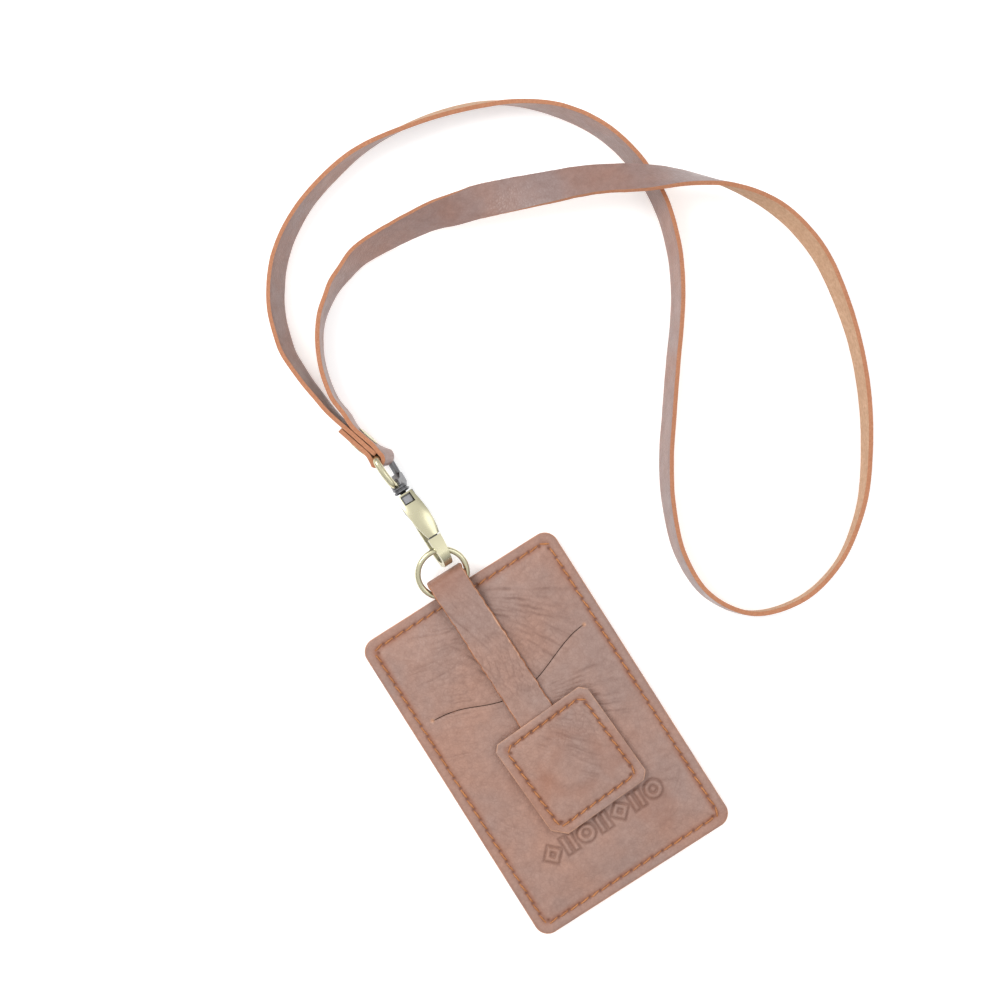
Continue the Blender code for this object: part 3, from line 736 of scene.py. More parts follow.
def build_stage():
    """A pale table under an overcast sky, with a warm key light and a cool fill light."""
    world = bpy.data.worlds.new("studio")
    world.use_nodes = True
    tree = world.node_tree
    sky = tree.nodes["Background"]
    place = add_node(tree, "ShaderNodeTexCoord")
    split = add_node(tree, "ShaderNodeSeparateXYZ")
    tree.links.new(place.outputs["Generated"], split.inputs["Vector"])
    height = remap(tree, split.outputs["Z"], 0.0, 0.75, 0.0, 1.0)
    colour = blend_colour(tree, height, (0.30, 0.31, 0.33), (1.0, 1.0, 1.0))
    tree.links.new(colour, sky.inputs["Color"])
    sky.inputs["Strength"].default_value = 1.02
    bpy.context.scene.world = world
    area_light("key", (-0.35, 0.55, 0.75), (0.03, 0.03, 0.0), 0.5, 4.2, (1.0, 0.985, 0.96))
    area_light("fill", (0.65, -0.25, 0.7), (0.03, 0.03, 0.0), 0.7, 1.6, (0.96, 0.98, 1.0))
    mesh = bpy.data.meshes.new("table")
    half = 3.0
    corners = [(x * half, y * half, TABLE_Z * MM) for x, y in ((-1, -1), (1, -1), (1, 1), (-1, 1))]
    mesh.from_pydata(corners, [], [[0, 1, 2, 3]])
    table = bpy.data.objects.new("table", mesh)
    bpy.context.scene.collection.objects.link(table)
    mat, tree, shader = new_material("table_pale", (0.93, 0.93, 0.93), 0.9)
    shader.inputs["Emission Color"].default_value = (1.0, 1.0, 1.0, 1.0)
    shader.inputs["Emission Strength"].default_value = 0.30
    shader.inputs["Specular IOR Level"].default_value = 0.1
    table.data.materials.append(mat)
    settings = bpy.context.scene.view_settings
    settings.view_transform = "Standard"
    settings.look = "None"


# ---- holder surface ------------------------------------------------------------------
def edge_distance(x, y, width, length, radius):
    """How far inside a rounded rectangle a point is."""
    qx = np.abs(x) - (width / 2 - radius)
    qy = np.abs(y) - (length / 2 - radius)
    outside = np.hypot(np.maximum(qx, 0), np.maximum(qy, 0))
    return radius - (outside + np.minimum(np.maximum(qx, qy), 0))


def holder_inset(x, y):
    """How far inside the holder's outline a point is."""
    return edge_distance(x, y, HOLDER_W, HOLDER_L, HOLDER_R)


def window_inset(x, y):
    """How far inside the back's window a point is."""
    return edge_distance(x, y, WINDOW_W, WINDOW_L, HOLDER_R)


def slit_line(x):
    """Height along y of the card slit."""
    inside = np.cos(np.pi * np.clip(x / (2 * SLIT_HALF), -0.5, 0.5)) ** 2
    return SLIT_Y - SLIT_DIP * inside + 0.25 * noise(x / 9.0, 0.5, 31)


def turn_axes(x, y, aim):
    """Distances along a direction, given in degrees, and across it."""
    a = math.radians(aim)
    return x * math.cos(a) + y * math.sin(a), y * math.cos(a) - x * math.sin(a)


def line_set(u, v, pitch, seed):
    """Creases along u, spaced along v, each strong in some stretches and lost in others."""
    number = np.floor(v / pitch)
    from_line = np.abs(v / pitch - number - 0.5) * pitch
    strong = ramp(noise(number * 3.7 + 0.5, u / 6.0, seed), -0.35, 0.35)
    return strong * np.clip(1.0 - from_line / 0.42, 0, 1) ** 1.2


def streaks(x, y, cx, cy, aim, length, width, pitch, seed, curl=0.0):
    """Creases that run side by side from a point towards aim: their depth, 0 to 1."""
    u, v = turn_axes(x - cx, y - cy, aim)
    v = v / (1 + np.maximum(u, 0) * curl)
    sway = 0.9 * layered(u / 16.0, v / 9.0, seed, 2) + 0.30 * layered(x / 3.0, y / 3.0, seed + 1, 2)
    fine = 0.6 * line_set(u, v + sway, pitch * 0.57, seed + 4)
    sharp = np.maximum(line_set(u, v + sway, pitch, seed + 3), fine)
    fade = ramp(u, -1.5, 2.5) * (1 - ramp(u, length * 0.45, length))
    side = 1 - ramp(np.abs(v), width * 0.55, width)
    return sharp * fade * side * patchy(x, y, 4.5, seed + 6, -0.4, 0.2, 0.45)


CREASES = [
    # x, y, aim, length, width, pitch, seed, curl, depth
    (5.5, 46.5, -38, 34, 5.5, 2.4, 11, 0.035, 0.40),
    (5.5, 43.0, -54, 34, 6.5, 2.6, 12, 0.030, 0.42),
    (5.5, 36.0, -66, 26, 6.0, 2.6, 26, 0.030, 0.34),
    (-6.5, 41.0, 158, 22, 5.0, 2.6, 13, 0.030, 0.26),
    (-6.5, 34.0, 172, 27, 6.0, 2.8, 14, 0.020, 0.30),
    (-6.5, 25.0, 126, 20, 6.0, 2.4, 15, 0.030, 0.34),
    (-6.5, 17.0, 160, 25, 4.0, 2.2, 16, 0.020, 0.30),
    (8.5, 9.5, -16, 26, 4.4, 2.0, 17, 0.035, 0.42),
    (17.0, -1.0, -28, 17, 5.0, 2.3, 18, 0.020, 0.28),
    (16.0, -26.0, -18, 19, 5.0, 2.5, 19, 0.025, 0.26),
    (18.0, -41.0, 40, 18, 5.0, 2.6, 20, 0.020, 0.20),
    (-21.0, 8.0, 160, 15, 4.0, 2.6, 21, 0.020, 0.18),
    (-16.0, -30.0, 120, 26, 8.0, 3.4, 22, 0.010, 0.14),
    (20.0, 46.0, 20, 20, 6.0, 2.8, 23, 0.020, 0.14),
]


def patchy(x, y, size, seed, low, high, least=0.0):
    """A factor that drifts over the leather between least and 1."""
    return least + (1 - least) * ramp(layered(x / size, y / size, seed, 2), low, high)


def warped(x, y, size, seed):
    """The points pushed about by noise, so that straight nets wander."""
    push_x = layered(x / 4.0, y / 4.0, seed, 2)
    push_y = layered(x / 4.0, y / 4.0, seed + 1, 2)
    return x + size * push_x, y + size * push_y


def within(value, low, full, fading, high):
    """1 from full to fading, 0 below low and above high."""
    return ramp(value, low, full) * (1 - ramp(value, fading, high))


def creases(x, y):
    """Depth of the leather's creases, in millimetres."""
    depth = np.zeros_like(x)
    for *where, deep in CREASES:
        depth = np.maximum(depth, deep * streaks(x, y, *where))
    wx, wy = warped(x, y, 1.2, 31)
    above_slit = ramp(y - slit_line(x), 0.5, 4.0) * (1 - ramp(y, 36.0, 45.0))
    net = folds(wx, wy, -58, 3.4, 1.7, 33) * within(x, 5.0, 8.5, 18.0, 27.0) * above_slit
    left = within(-x, 5.5, 9.0, 17.0, 25.0) * within(y, 20, 26, 35, 42)
    low = folds(wx, wy, 150, 3.6, 1.9, 34) * left
    fine = folds(wx, wy, 20, 1.5, 1.15, 35) * patchy(x, y, 12.0, 36, -0.2, 0.5, 0.25)
    return np.maximum(depth, np.maximum(0.16 * net, 0.13 * low)) + 0.02 * fine


def folds(x, y, aim, long, wide, seed):
    """A net of fine creases round cells stretched along aim."""
    along, cross = turn_axes(x, y, aim)
    return np.clip(1 - cells(along / long, cross / wide, seed) / 0.75, 0, 1) ** 1.2


def mark(x, y):
    """A plain row of generic shapes pressed in below the patch: (groove, swell)."""
    u, v = turn_axes(x - MARK_X, y - MARK_Y, MARK_AIM)
    nearest = np.full_like(x, 9.0)
    for k, shape in enumerate(MARK_ROW):
        px = u - (k - (len(MARK_ROW) - 1) / 2) * MARK_PITCH
        if shape == "ring":
            d = np.abs(np.hypot(px, v) - 2.15) - 0.80
        elif shape == "diamond":
            d = np.abs((np.abs(px) + np.abs(v)) * 0.71 - 1.55) - 0.72
        else:
            d = np.maximum(np.abs(np.abs(px) - 1.25) - 0.72, np.abs(v) - 2.9)
        nearest = np.minimum(nearest, d)
    return bump(nearest - 0.30, 0.36), ramp(-nearest, -0.1, 0.65)


def even_places(points, count, start):
    """Even places along a closed line, the first a share of a gap from its start:
    (middle, unit direction, gap) for each."""
    pts = [Vector((*p, 0.0)) for p in points]
    steps = [(b - a).length for a, b in zip(pts, pts[1:] + pts[:1])]
    gap = sum(steps) / count
    places = []
    index = 0
    covered = 0.0
    for k in range(count):
        want = (k + start) * gap
        while covered + steps[index] < want:
            covered += steps[index]
            index += 1
        t = (want - covered) / steps[index]
        a = pts[index]
        b = pts[(index + 1) % len(pts)]
        places.append((a.lerp(b, t), (b - a).normalized(), gap))
    return places


def stitch_places(points, pitch):
    """Places for stitches about pitch long round a closed line."""
    around = sum(math.dist(a, b) for a, b in zip(points, points[1:] + points[:1]))
    return even_places(points, round(around / pitch), 0.5)


def rounded_rect(width, length, radius, steps=8):
    """A rectangle's outline with round corners."""
    points = []
    for k, (sx, sy) in enumerate([(1, 1), (-1, 1), (-1, -1), (1, -1)]):
        cx = sx * (width / 2 - radius)
        cy = sy * (length / 2 - radius)
        for i in range(steps + 1):
            a = math.radians(90 * k + 90 * i / steps)
            points.append((cx + radius * math.cos(a), cy + radius * math.sin(a)))
    return points


BORDER_LINE = rounded_rect(HOLDER_W - 2 * STITCH_INSET, HOLDER_L - 2 * STITCH_INSET, 2.2)
BORDER_STITCHES = stitch_places(BORDER_LINE, STITCH_PITCH)


def hole_field(x, y, places, width):
    """1 at the needle holes between stitches, falling to 0 beside them."""
    field = np.zeros_like(x)
    for k, (middle, along, gap) in enumerate(places):
        ahead = places[(k + 1) % len(places)][0]
        hx = (middle.x + ahead.x) / 2
        hy = (middle.y + ahead.y) / 2
        near = (np.abs(x - hx) < 3 * width) & (np.abs(y - hy) < 3 * width)
        field[near] = np.maximum(field[near], bump(np.hypot(x[near] - hx, y[near] - hy), width))
    return field


def front_height(x, y, inset):
    """Top of the front panel over the holder, in millimetres."""
    puff = ramp(inset, 3.9, 15.0) ** 0.8
    z = RIM_TOP + (FRONT_TOP - RIM_TOP) * puff
    z = z - 0.45 * (1 - ramp(inset, 0.0, 0.9)) ** 2
    z = z - GROOVE * bump(inset - STITCH_INSET, GROOVE_W)
    z = z + 0.22 * layered(x / 16.0, y / 16.0, 41, 2) * puff
    under_patch = 1 - ramp(np.maximum(np.abs(x - PATCH_X), np.abs(y - PATCH_Y)), 15.0, 20.0)
    z = z - 0.25 * under_patch
    lip = y - slit_line(x)
    near_slit = 1 - ramp(np.abs(x), SLIT_HALF - 4, SLIT_HALF)
    z = z - near_slit * (0.30 * bump(lip, 0.8) + 0.22 * bump(lip + 2.2, 2.0))
    return z


def tab_side_shadow(x, y):
    """Painted shadow on the leather close along the tab's sides."""
    near = bump(np.abs(x - TAB_X) - TAB_W / 2 - 0.6, 2.2)
    return near * ramp(y, 10.0, 24.0) * patchy(x, y, 5.0, 53, -0.4, 0.4, 0.35)


def even_grid(width, length, step):
    """Places across and along a rectangle, about step apart."""
    across = np.linspace(-1, 1, int(width / step) + 1) * width / 2
    along = np.linspace(-1, 1, int(length / step) + 1) * length / 2
    return across, along


def grid_cells(shape):
    """The four corner numbers of every cell of a grid of points, row by row."""
    index = np.arange(shape[0] * shape[1]).reshape(shape)
    return np.stack([index[:-1, :-1], index[:-1, 1:], index[1:, 1:], index[1:, :-1]], -1)


def columns(*fields):
    """Fields over a grid as the columns of one table, a row to each point."""
    return np.stack([field.ravel() for field in fields], 1)


def slit_grid():
    """A grid over the front whose rows part along the card slit, and the last row below it."""
    across, along = even_grid(HOLDER_W, HOLDER_L, FRONT_GRID)
    row = int(np.argmin(np.abs(along - SLIT_Y)))
    halves = []
    for side, part in ((-1, along[:row + 1]), (1, along[row:])):
        gx, gy = np.meshgrid(across, part)
        share = 1 - ramp(np.abs(gy - along[row]), 0.0, SLIT_SPREAD)
        gap = side * SLIT_GAP / 2 * (1 - ramp(np.abs(gx), SLIT_HALF - 1.5, SLIT_HALF))
        fade = 1 - ramp(np.abs(gx), SLIT_HALF, HOLDER_W / 2 - 1)
        gy = gy + share * (slit_line(gx) - SLIT_Y) * fade + share * (SLIT_Y - along[row])
        halves.append((gx, gy + gap * (share > 0.999)))
    return np.vstack([gx for gx, gy in halves]), np.vstack([gy for gx, gy in halves]), row


def build_front():
    """The front leather with its slit, stitch line, creases and pressed row of shapes."""
    gx, gy, slit_row = slit_grid()
    x, y = round_corners(gx, gy)
    inset = holder_inset(x, y)
    depth = creases(x, y) * ramp(inset, 3.0, 7.0)
    groove, swell = mark(x, y)
    holes = hole_field(x, y, BORDER_STITCHES, 0.5)
    from_end = np.hypot(np.abs(x) - SLIT_HALF, y - SLIT_Y)
    ends = bump(from_end, 0.4)
    z = front_height(x, y, inset) - depth - 0.42 * groove + 0.34 * swell - 0.3 * holes - 0.5 * ends

    # dark is painted shade in the creases, pressed grooves, needle holes and slit end holes, with a painted
    # shadow along the tab's sides.
    dark = 1.7 * depth + 0.52 * groove + 0.85 * holes + 0.5 * ends + 0.30 * tab_side_shadow(x, y)
    # painted shade along the card slit's gap
    dark = dark + 0.35 * bump(y - slit_line(x), 0.28) * (np.abs(x) < SLIT_HALF)
    warm = 0.80 * bump(inset - STITCH_INSET - 0.3, 1.0) * patchy(x, y, 6.0, 50, -0.5, 0.4, 0.5)
    # the needle holes' painted shade is warmed here too
    warm = warm + 0.25 * bump(inset, 0.8) + 0.9 * holes + 0.12 * groove
    warm = warm + 0.30 * patchy(x, y, 18.0, 51, -0.1, 0.6) * ramp(-y, -8.0, 30.0)
    raw = 0.75 * (1 - ramp(inset, 0.08, 0.34)) * patchy(x, y, 5.0, 52, -0.7, 0.1)
    raw = raw + 0.55 * bump(from_end - 0.3, 0.35)
    tone = np.clip(columns(np.minimum(dark, 0.95), warm, raw), 0, 1)

    faces = np.delete(grid_cells(x.shape), slit_row, axis=0).reshape(-1, 4)
    front = mesh_piece("holder_front_leather", columns(x, y, z), faces, [LEATHER_MAT, EDGE_MAT], tone=tone)
    turn_sheet(front, up=True)
    thicken(front, LEATHER - 0.1)
    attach(front, "holder")
    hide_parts("front_panel")


def round_corners(gx, gy):
    """Bends the square corners of a holder-sized grid into round ones."""
    cx = HOLDER_W / 2 - HOLDER_R
    cy = HOLDER_L / 2 - HOLDER_R
    a = np.clip((np.abs(gx) - cx) / HOLDER_R, 0, 1)
    b = np.clip((np.abs(gy) - cy) / HOLDER_R, 0, 1)
    x = np.where((a > 0) & (b > 0), np.sign(gx) * (cx + HOLDER_R * a * np.sqrt(1 - b * b / 2)), gx)
    y = np.where((a > 0) & (b > 0), np.sign(gy) * (cy + HOLDER_R * b * np.sqrt(1 - a * a / 2)), gy)
    return x, y


def turn_sheet(obj, up):
    """Joins the points of a sheet that meet, and turns its faces up or down."""
    with editing(obj.data) as bm:
        bmesh.ops.remove_doubles(bm, verts=bm.verts, dist=0.000005)
        bmesh.ops.recalc_face_normals(bm, faces=bm.faces)
        if (sum(face.normal.z for face in bm.faces) > 0) != up:
            bmesh.ops.reverse_faces(bm, faces=bm.faces)


def thicken(obj, thickness):
    """Gives a one-sided sheet its thickness behind it, with walls of its second material."""
    mod = obj.modifiers.new("thickness", "SOLIDIFY")
    mod.thickness = thickness * MM
    mod.offset = -1.0
    mod.material_offset_rim = 1
    mod.use_quality_normals = True
    apply_modifiers(obj)
    sharpen(obj.data)


def stitch(middle, along, gap, top, size, seed):
    """One stitch of two-ply thread whose ends dip into its needle holes."""
    side = Vector((-along.y, along.x, 0))
    slant = 0.22 + 0.12 * float(noise(seed * 1.7, 0.5, 61))
    length = gap * 0.42
    steps = 9
    sides = 10
    loops = []
    for i in range(steps):
        t = -1 + 2 * i / (steps - 1)
        lift = top(middle.x + along.x * t * length, middle.y + along.y * t * length)
        lift += size * (0.75 - 1.35 * abs(t) ** 2.6)
        place = middle + along * (t * length) + side * (slant * t)
        radius = size * (0.62 + 0.38 * (1 - abs(t) ** 3))
        loop = []
        for k in range(sides):
            a = 2 * math.pi * k / sides
            ply = radius * (1 + 0.16 * math.cos(2 * (a - 2.4 * t - seed)))
            off = side * (math.cos(a) * ply)
            loop.append((place.x + off.x, place.y + off.y, lift + math.sin(a) * ply * 0.8))
        loops.append(loop)
    return skin(loops)


def stitch_row(name, places, top, size, seed, move):
    """All the stitches along a line as one piece; move takes their points to the holder."""
    parts = []
    for k, place in enumerate(places):
        verts, faces = stitch(*place, top, size, k + seed)
        parts.append(([move(*p) for p in verts], faces))
    return mesh_piece(name, *merge(parts), [THREAD_MAT])


def build_border_thread():
    """The line of stitches round the holder, as seen on its front and on its back."""
    def front_top(x, y):
        inset = float(holder_inset(np.array(x), np.array(y)))
        return RIM_TOP - GROOVE * bump(inset - STITCH_INSET, GROOVE_W)

    thread = stitch_row("border_stitches_front", BORDER_STITCHES, front_top, THREAD_R, 0, lambda *p: p)
    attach(thread, "holder")
    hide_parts("border_thread")
    back = stitch_row("border_stitches_back", BORDER_STITCHES, lambda x, y: 0.05, 0.34, 300,
                      lambda x, y, z: (x, y, 0.62 - z))
    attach(back, "holder")


def build_back():
    """The back leather, flat, with its window and a creased line round it."""
    x, y = round_corners(*np.meshgrid(*even_grid(HOLDER_W, HOLDER_L, BACK_GRID)))
    window = window_inset(x, y)
    x, y = snap_to_window(x, y, window, BACK_GRID)
    window = window_inset(x, y)
    inset = holder_inset(x, y)
    z = 0.02 + 0.30 * (1 - ramp(inset, 0.0, 0.9)) ** 2
    z = z + 0.34 * bump(inset - STITCH_INSET, GROOVE_W) + 0.30 * (1 - ramp(-window, 0.0, 0.8)) ** 2
    z = z + 0.10 * bump(window + 2.2, 0.35) + 0.03 * (1 - cells(x / 1.6, y / 1.5, 71))
    warm = 0.30 * bump(inset - STITCH_INSET, 1.0)
    tone = columns(0.30 * bump(window + 2.2, 0.45), warm, np.zeros_like(x))
    faces = grid_cells(x.shape).reshape(-1, 4)
    faces = faces[(window.ravel() < 0.02)[faces].all(axis=1)]
    used = np.unique(faces)
    faces = np.searchsorted(used, faces)
    back = mesh_piece("holder_back_leather", columns(x, y, z)[used], faces, [LEATHER_MAT, EDGE_MAT],
                      tone=tone[used])
    turn_sheet(back, up=False)
    thicken(back, BACK_TOP - 0.1)
    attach(back, "holder")
    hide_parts("back_panel")


def snap_to_window(x, y, window, step):
    """Moves the grid points beside the window onto its outline."""
    near = (window > -0.45 * step) & (window <= 0.55 * step)
    e = 0.01
    gx = (window_inset(x + e, y) - window) / e
    gy = (window_inset(x, y + e) - window) / e
    size = np.maximum(np.hypot(gx, gy), 1e-6)
    return np.where(near, x - gx / size * window, x), np.where(near, y - gy / size * window, y)


def build_layers():
    """The sheets between front and back: their raw edges show round the holder."""
    outline = densify(rounded_rect(HOLDER_W - 0.5, HOLDER_L - 0.5, HOLDER_R, 10), 1.0)
    inner = rounded_rect(HOLDER_W - 9.0, HOLDER_L - 9.0, HOLDER_R, 10)
    inner = [tuple(place)[:2] for place, along, gap in even_places(inner, len(outline), 0.0)]
    rng = np.random.default_rng(5)
    loops = []
    for z, push in ((1.2, 0.0), (1.75, 0.12), (2.0, -0.06), (2.35, 0.12), (2.75, 0.0)):
        wave = rng.normal(0, 0.04, len(outline))
        loops.append([(x * (1 + (push + w) / 40), y * (1 + (push + w) / 60), z)
                      for (x, y), w in zip(outline, wave)])
    loops += [[(x, y, z) for x, y in inner] for z in (2.75, 1.2)]
    rim = mesh_piece("holder_edge_layers", *skin(loops, closed=True), [EDGE_MAT])
    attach(rim, "holder")

    flat = rounded_rect(HOLDER_W - 8.5, HOLDER_L - 8.5, HOLDER_R, 10)
    loops = [[(x, y, z) for x, y in flat] for z in (2.3, 2.9)]
    lining = mesh_piece("card_lining", *skin(loops), [LINING_MAT])
    for polygon in lining.data.polygons:
        polygon.use_smooth = False
    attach(lining, "holder")
    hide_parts("front_lining")


def densify(points, step):
    """The same closed line with points about step apart."""
    out = []
    for i, (x, y) in enumerate(points):
        nx, ny = points[(i + 1) % len(points)]
        parts = max(1, round(math.hypot(nx - x, ny - y) / step))
        out += [(x + (nx - x) * k / parts, y + (ny - y) * k / parts) for k in range(parts)]
    return out


# ---- tab and patch ---------------------------------------------------------------------
def tab_middle(y):
    """Where the tab's middle lies: it drifts to the right on its way down."""
    return TAB_X + TAB_DRIFT * np.clip((52.0 - y) / 50.0, 0, 1)


def build_tab():
    """One strap from the top seam, out round the ring and down under the patch."""
    line = [(47.0, 1.98), (54.0, 1.98)]
    line += arc(TAB_FOLD_Y, TAB_FOLD_Z, TAB_FOLD_R, -78, 78, 16)
    line += [(54.4, 8.0), (50.0, 7.6), (46.0, 7.35), (36.0, 7.2), (24.0, 7.25), (12.0, 7.35), (2.0, 7.4)]
    middles = smooth_points([(0, y, z) for y, z in line], 0.7)
    stations = []
    for i, (place, ahead) in enumerate(zip(middles, headings(middles))):
        down = i / (len(middles) - 1)
        x = TAB_X + TAB_DRIFT * max(0.0, down - 0.25) / 0.75
        wave = 0.10 * float(layered(place.y / 7.0, 2.0, 81, 2)) if place.z > 6.5 else 0.0
        thick = ahead.cross(Vector((1, 0, 0)))
        stations.append((Vector((x, place.y, place.z + wave)), Vector((-1, 0, 0)), thick))
    verts, faces, numbers = band(stations, TAB_W / 2 - 0.05, TAB_T, 90, 0.30, 44, 0.22)
    verts = np.array(verts)
    x, y, z = verts.T
    upper = z > 6.6
    depth = tab_creases(x, y) * upper
    ragged = 0.22 * noise(y / 1.3, x / 30.0, 97)
    rim = ramp(np.abs(x - tab_middle(y)) + ragged, TAB_W / 2 - 0.42, TAB_W / 2 - 0.12)
    # The red of tone is painted shade in the tab's creases.
    tone = columns(np.clip(2.2 * depth, 0, 0.8), 0.45 * ramp(y, 50.0, 60.0), 0.75 * rim * upper)
    tab = mesh_piece("tab_leather", columns(x, y, z - depth), faces, [LEATHER_MAT, FLESH_MAT, EDGE_MAT],
                     numbers, tone)
    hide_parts("tab_strap_rear", "tab_strap_front")
    fold = to_frame([(0, 58.6, 2.4), (0, 58.2, 8.0)])
    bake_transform(tab)


def tab_creases(x, y):
    """Fine slanting creases on the tab."""
    net = folds(*warped(x, y, 1.0, 91), -72, 4.2, 1.6, 93) * within(y, 8.0, 16.0, 50.0, 55.0)
    net = net * (0.35 + 0.65 * ramp(layered(x / 6.0, y / 8.0, 94, 2), -0.2, 0.4))
    long = streaks(x, y, -3.0, 52.0, -74, 30, 7.0, 2.7, 95)
    low = streaks(x, y, -3.0, 29.0, -68, 24, 6.0, 2.7, 96)
    return np.maximum(0.19 * net, 0.24 * np.maximum(long, low))


def patch_frame(x, y, z):
    """A point in the patch's own axes moved to the holder's."""
    turned_x, turned_y = turn_axes(x, y, -PATCH_TURN)
    return PATCH_X + turned_x, PATCH_Y + turned_y, z


def corner_cut(x, y):
    """The chamfer of the corner that each point is nearest to."""
    right = np.where(y > 0, PATCH_CUTS[1, 1], PATCH_CUTS[1, -1])
    left = np.where(y > 0, PATCH_CUTS[-1, 1], PATCH_CUTS[-1, -1])
    return np.where(x > 0, right, left)


def chamfer_corners(gx, gy):
    """Bends the square corners of a patch-sized grid into its chamfers."""
    cut = corner_cut(gx, gy)
    a = np.clip((np.abs(gx) - (PATCH_W / 2 - cut)) / cut, 0, 1)
    b = np.clip((np.abs(gy) - (PATCH_L / 2 - cut)) / cut, 0, 1)
    both = (a > 0) & (b > 0)
    x = np.where(both, np.sign(gx) * (PATCH_W / 2 - cut + cut * a * (1 - b / 2)), gx)
    y = np.where(both, np.sign(gy) * (PATCH_L / 2 - cut + cut * b * (1 - a / 2)), gy)
    return x, y


def patch_inset(x, y):
    """How far inside the patch's outline a point is."""
    straight = np.minimum(PATCH_W / 2 - np.abs(x), PATCH_L / 2 - np.abs(y))
    corner = (PATCH_W / 2 + PATCH_L / 2 - corner_cut(x, y) - np.abs(x) - np.abs(y)) / math.sqrt(2)
    return np.minimum(straight, corner)


PATCH_LINE = rounded_rect(PATCH_W - 2 * PATCH_STITCH_INSET, PATCH_L - 2 * PATCH_STITCH_INSET, 2.4, 5)
PATCH_STITCHES = stitch_places(PATCH_LINE, PATCH_PITCH)


def patch_height(x, y):
    """Top of the patch over the holder, with the magnet's swell and the tab's ridge."""
    inset = patch_inset(x, y)
    r = np.hypot(x, y)
    z = PATCH_RIM - 0.30 * (1 - ramp(inset, 0.0, 0.8)) ** 2
    z = z - 0.30 * bump(inset - PATCH_STITCH_INSET, 0.6)
    z = z + 0.55 * ramp(inset, 3.4, 7.5)
    z = z + 0.85 * (1 - ramp(r, 6.0, 10.5)) - 0.12 * (1 - ramp(r, 0.0, 6.0))
    over_tab = (1 - ramp(np.abs(x + 1.6), 6.3, 8.0)) * ramp(y, 9.5, 13.5)
    return z + 0.25 * over_tab * (1 - bump(inset - PATCH_STITCH_INSET, 0.6))


def build_patch():
    """The patch's top leather, with its stitch line, creases and needle holes."""
    x, y = chamfer_corners(*np.meshgrid(*even_grid(PATCH_W, PATCH_L, PATCH_GRID)))
    inset = patch_inset(x, y)
    holes = hole_field(x, y, PATCH_STITCHES, 0.6)
    wx, wy = warped(x, y, 1.0, 101)
    upper = streaks(x, y, -2.0, 13.0, -52, 26, 8.0, 2.3, 103, 0.02)
    middle = streaks(x, y, 0.0, -1.5, -45, 15, 5.0, 1.9, 107, 0.03)
    net = folds(wx, wy, -50, 3.0, 1.5, 111) * ramp(x, -4.0, 3.0) * ramp(y, -3.0, 5.0)
    fine = folds(wx, wy, 30, 1.5, 1.1, 112)
    depth = np.maximum(0.30 * upper, np.maximum(0.20 * middle, 0.17 * net)) + 0.018 * fine
    depth = depth * ramp(inset, 3.4, 5.0)
    z = patch_height(x, y) - depth - 0.32 * holes

    halo = bump(np.hypot(x, y) - 9.4, 2.4) * patchy(x, y, 9.0, 104, -0.4, 0.4)
    warm = 0.45 * bump(inset - PATCH_STITCH_INSET, 0.9) + 0.25 * halo + 0.9 * holes
    warm = warm + 0.25 * patchy(x, y, 8.0, 105, 0.1, 0.6)
    ragged = 0.35 + 0.65 * ramp(noise(x / 2.2, y / 2.2, 106), -0.6, 0.3)
    raw = 0.6 * ragged * (1 - ramp(inset, 0.08, 0.36))
    # The red of tone is painted shade in the patch's creases and needle holes; the green warms the holes'
    # shade.
    tone = np.clip(columns(1.6 * depth + 0.85 * holes, warm, raw), 0, 1)
    faces = grid_cells(x.shape).reshape(-1, 4)
    front = mesh_piece("patch_front_leather", columns(*patch_frame(x, y, z)), faces, [LEATHER_MAT, EDGE_MAT],
                       tone=tone)
    turn_sheet(front, up=True)
    thicken(front, 1.0)
    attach(front, "flap")
    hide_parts("patch_front")


def build_patch_back():
    """The leather under the patch, flesh side down."""
    half_w = PATCH_W / 2 - 0.15
    half_l = PATCH_L / 2 - 0.15
    outline = []
    for sx, sy in ((1, 1), (-1, 1), (-1, -1), (1, -1)):
        corner = PATCH_CUTS[sx, sy]
        ends = [(sx * half_w, sy * (half_l - corner)), (sx * (half_w - corner), sy * half_l)]
        outline += ends if sx * sy > 0 else ends[::-1]
    dense = densify(outline, 0.8)
    loops = []
    for shrink, z in ((0.25, 6.70), (0.0, 6.82), (0.05, 7.6), (0.3, 7.9)):
        size = 1 - shrink / 18
        loops.append([patch_frame(x * size, y * size, z) for x, y in dense])
    verts, faces = skin(loops)
    numbers = [1] * (len(faces) - 2) + [0, 0]
    back = mesh_piece("patch_back_leather", verts, faces, [FLESH_MAT, EDGE_MAT], numbers)
    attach(back, "flap")
    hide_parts("patch_back")


def build_patch_thread():
    """The line of stitches round the patch."""
    def top(x, y):
        return float(patch_height(np.array(x), np.array(y)))

    thread = stitch_row("patch_stitches", PATCH_STITCHES, top, THREAD_R, 600, patch_frame)
    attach(thread, "flap")
    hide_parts("patch_thread")


# ---- metal -------------------------------------------------------------------------------
def soften(obj, width):
    """Rounds the hard edges of a metal piece."""
    mod = obj.modifiers.new("edge", "BEVEL")
    mod.width = width * MM
    mod.segments = 3
    mod.limit_method = "ANGLE"
    mod.angle_limit = math.radians(32)
    mod.harden_normals = True
    apply_modifiers(obj)


def block(low, high):
    """A box between two corners."""
    x0, y0, z0 = low
    x1, y1, z1 = high
    return side_prism([(y0, z0), (y1, z0), (y1, z1), (y0, z1)], x0, x1)


def roll(obj, degrees):
    """Turns a piece about the swivel's long axis, its top towards +X."""
    centre = Matrix.Translation((CLASP_X * MM, 0, CLASP_Z * MM))
    obj.data.transform(centre @ Matrix.Rotation(math.radians(degrees), 4, "Y") @ centre.inverted())


def combine(obj, parts, operation):
    """Joins a solid to the piece or cuts it away."""
    other = mesh_piece("tool", *parts, [BRASS_MAT])
    mod = obj.modifiers.new("boolean", "BOOLEAN")
    mod.operation = operation
    mod.solver = "EXACT"
    mod.object = other
    apply_modifiers(obj)
    bpy.data.objects.remove(other, do_unlink=True)


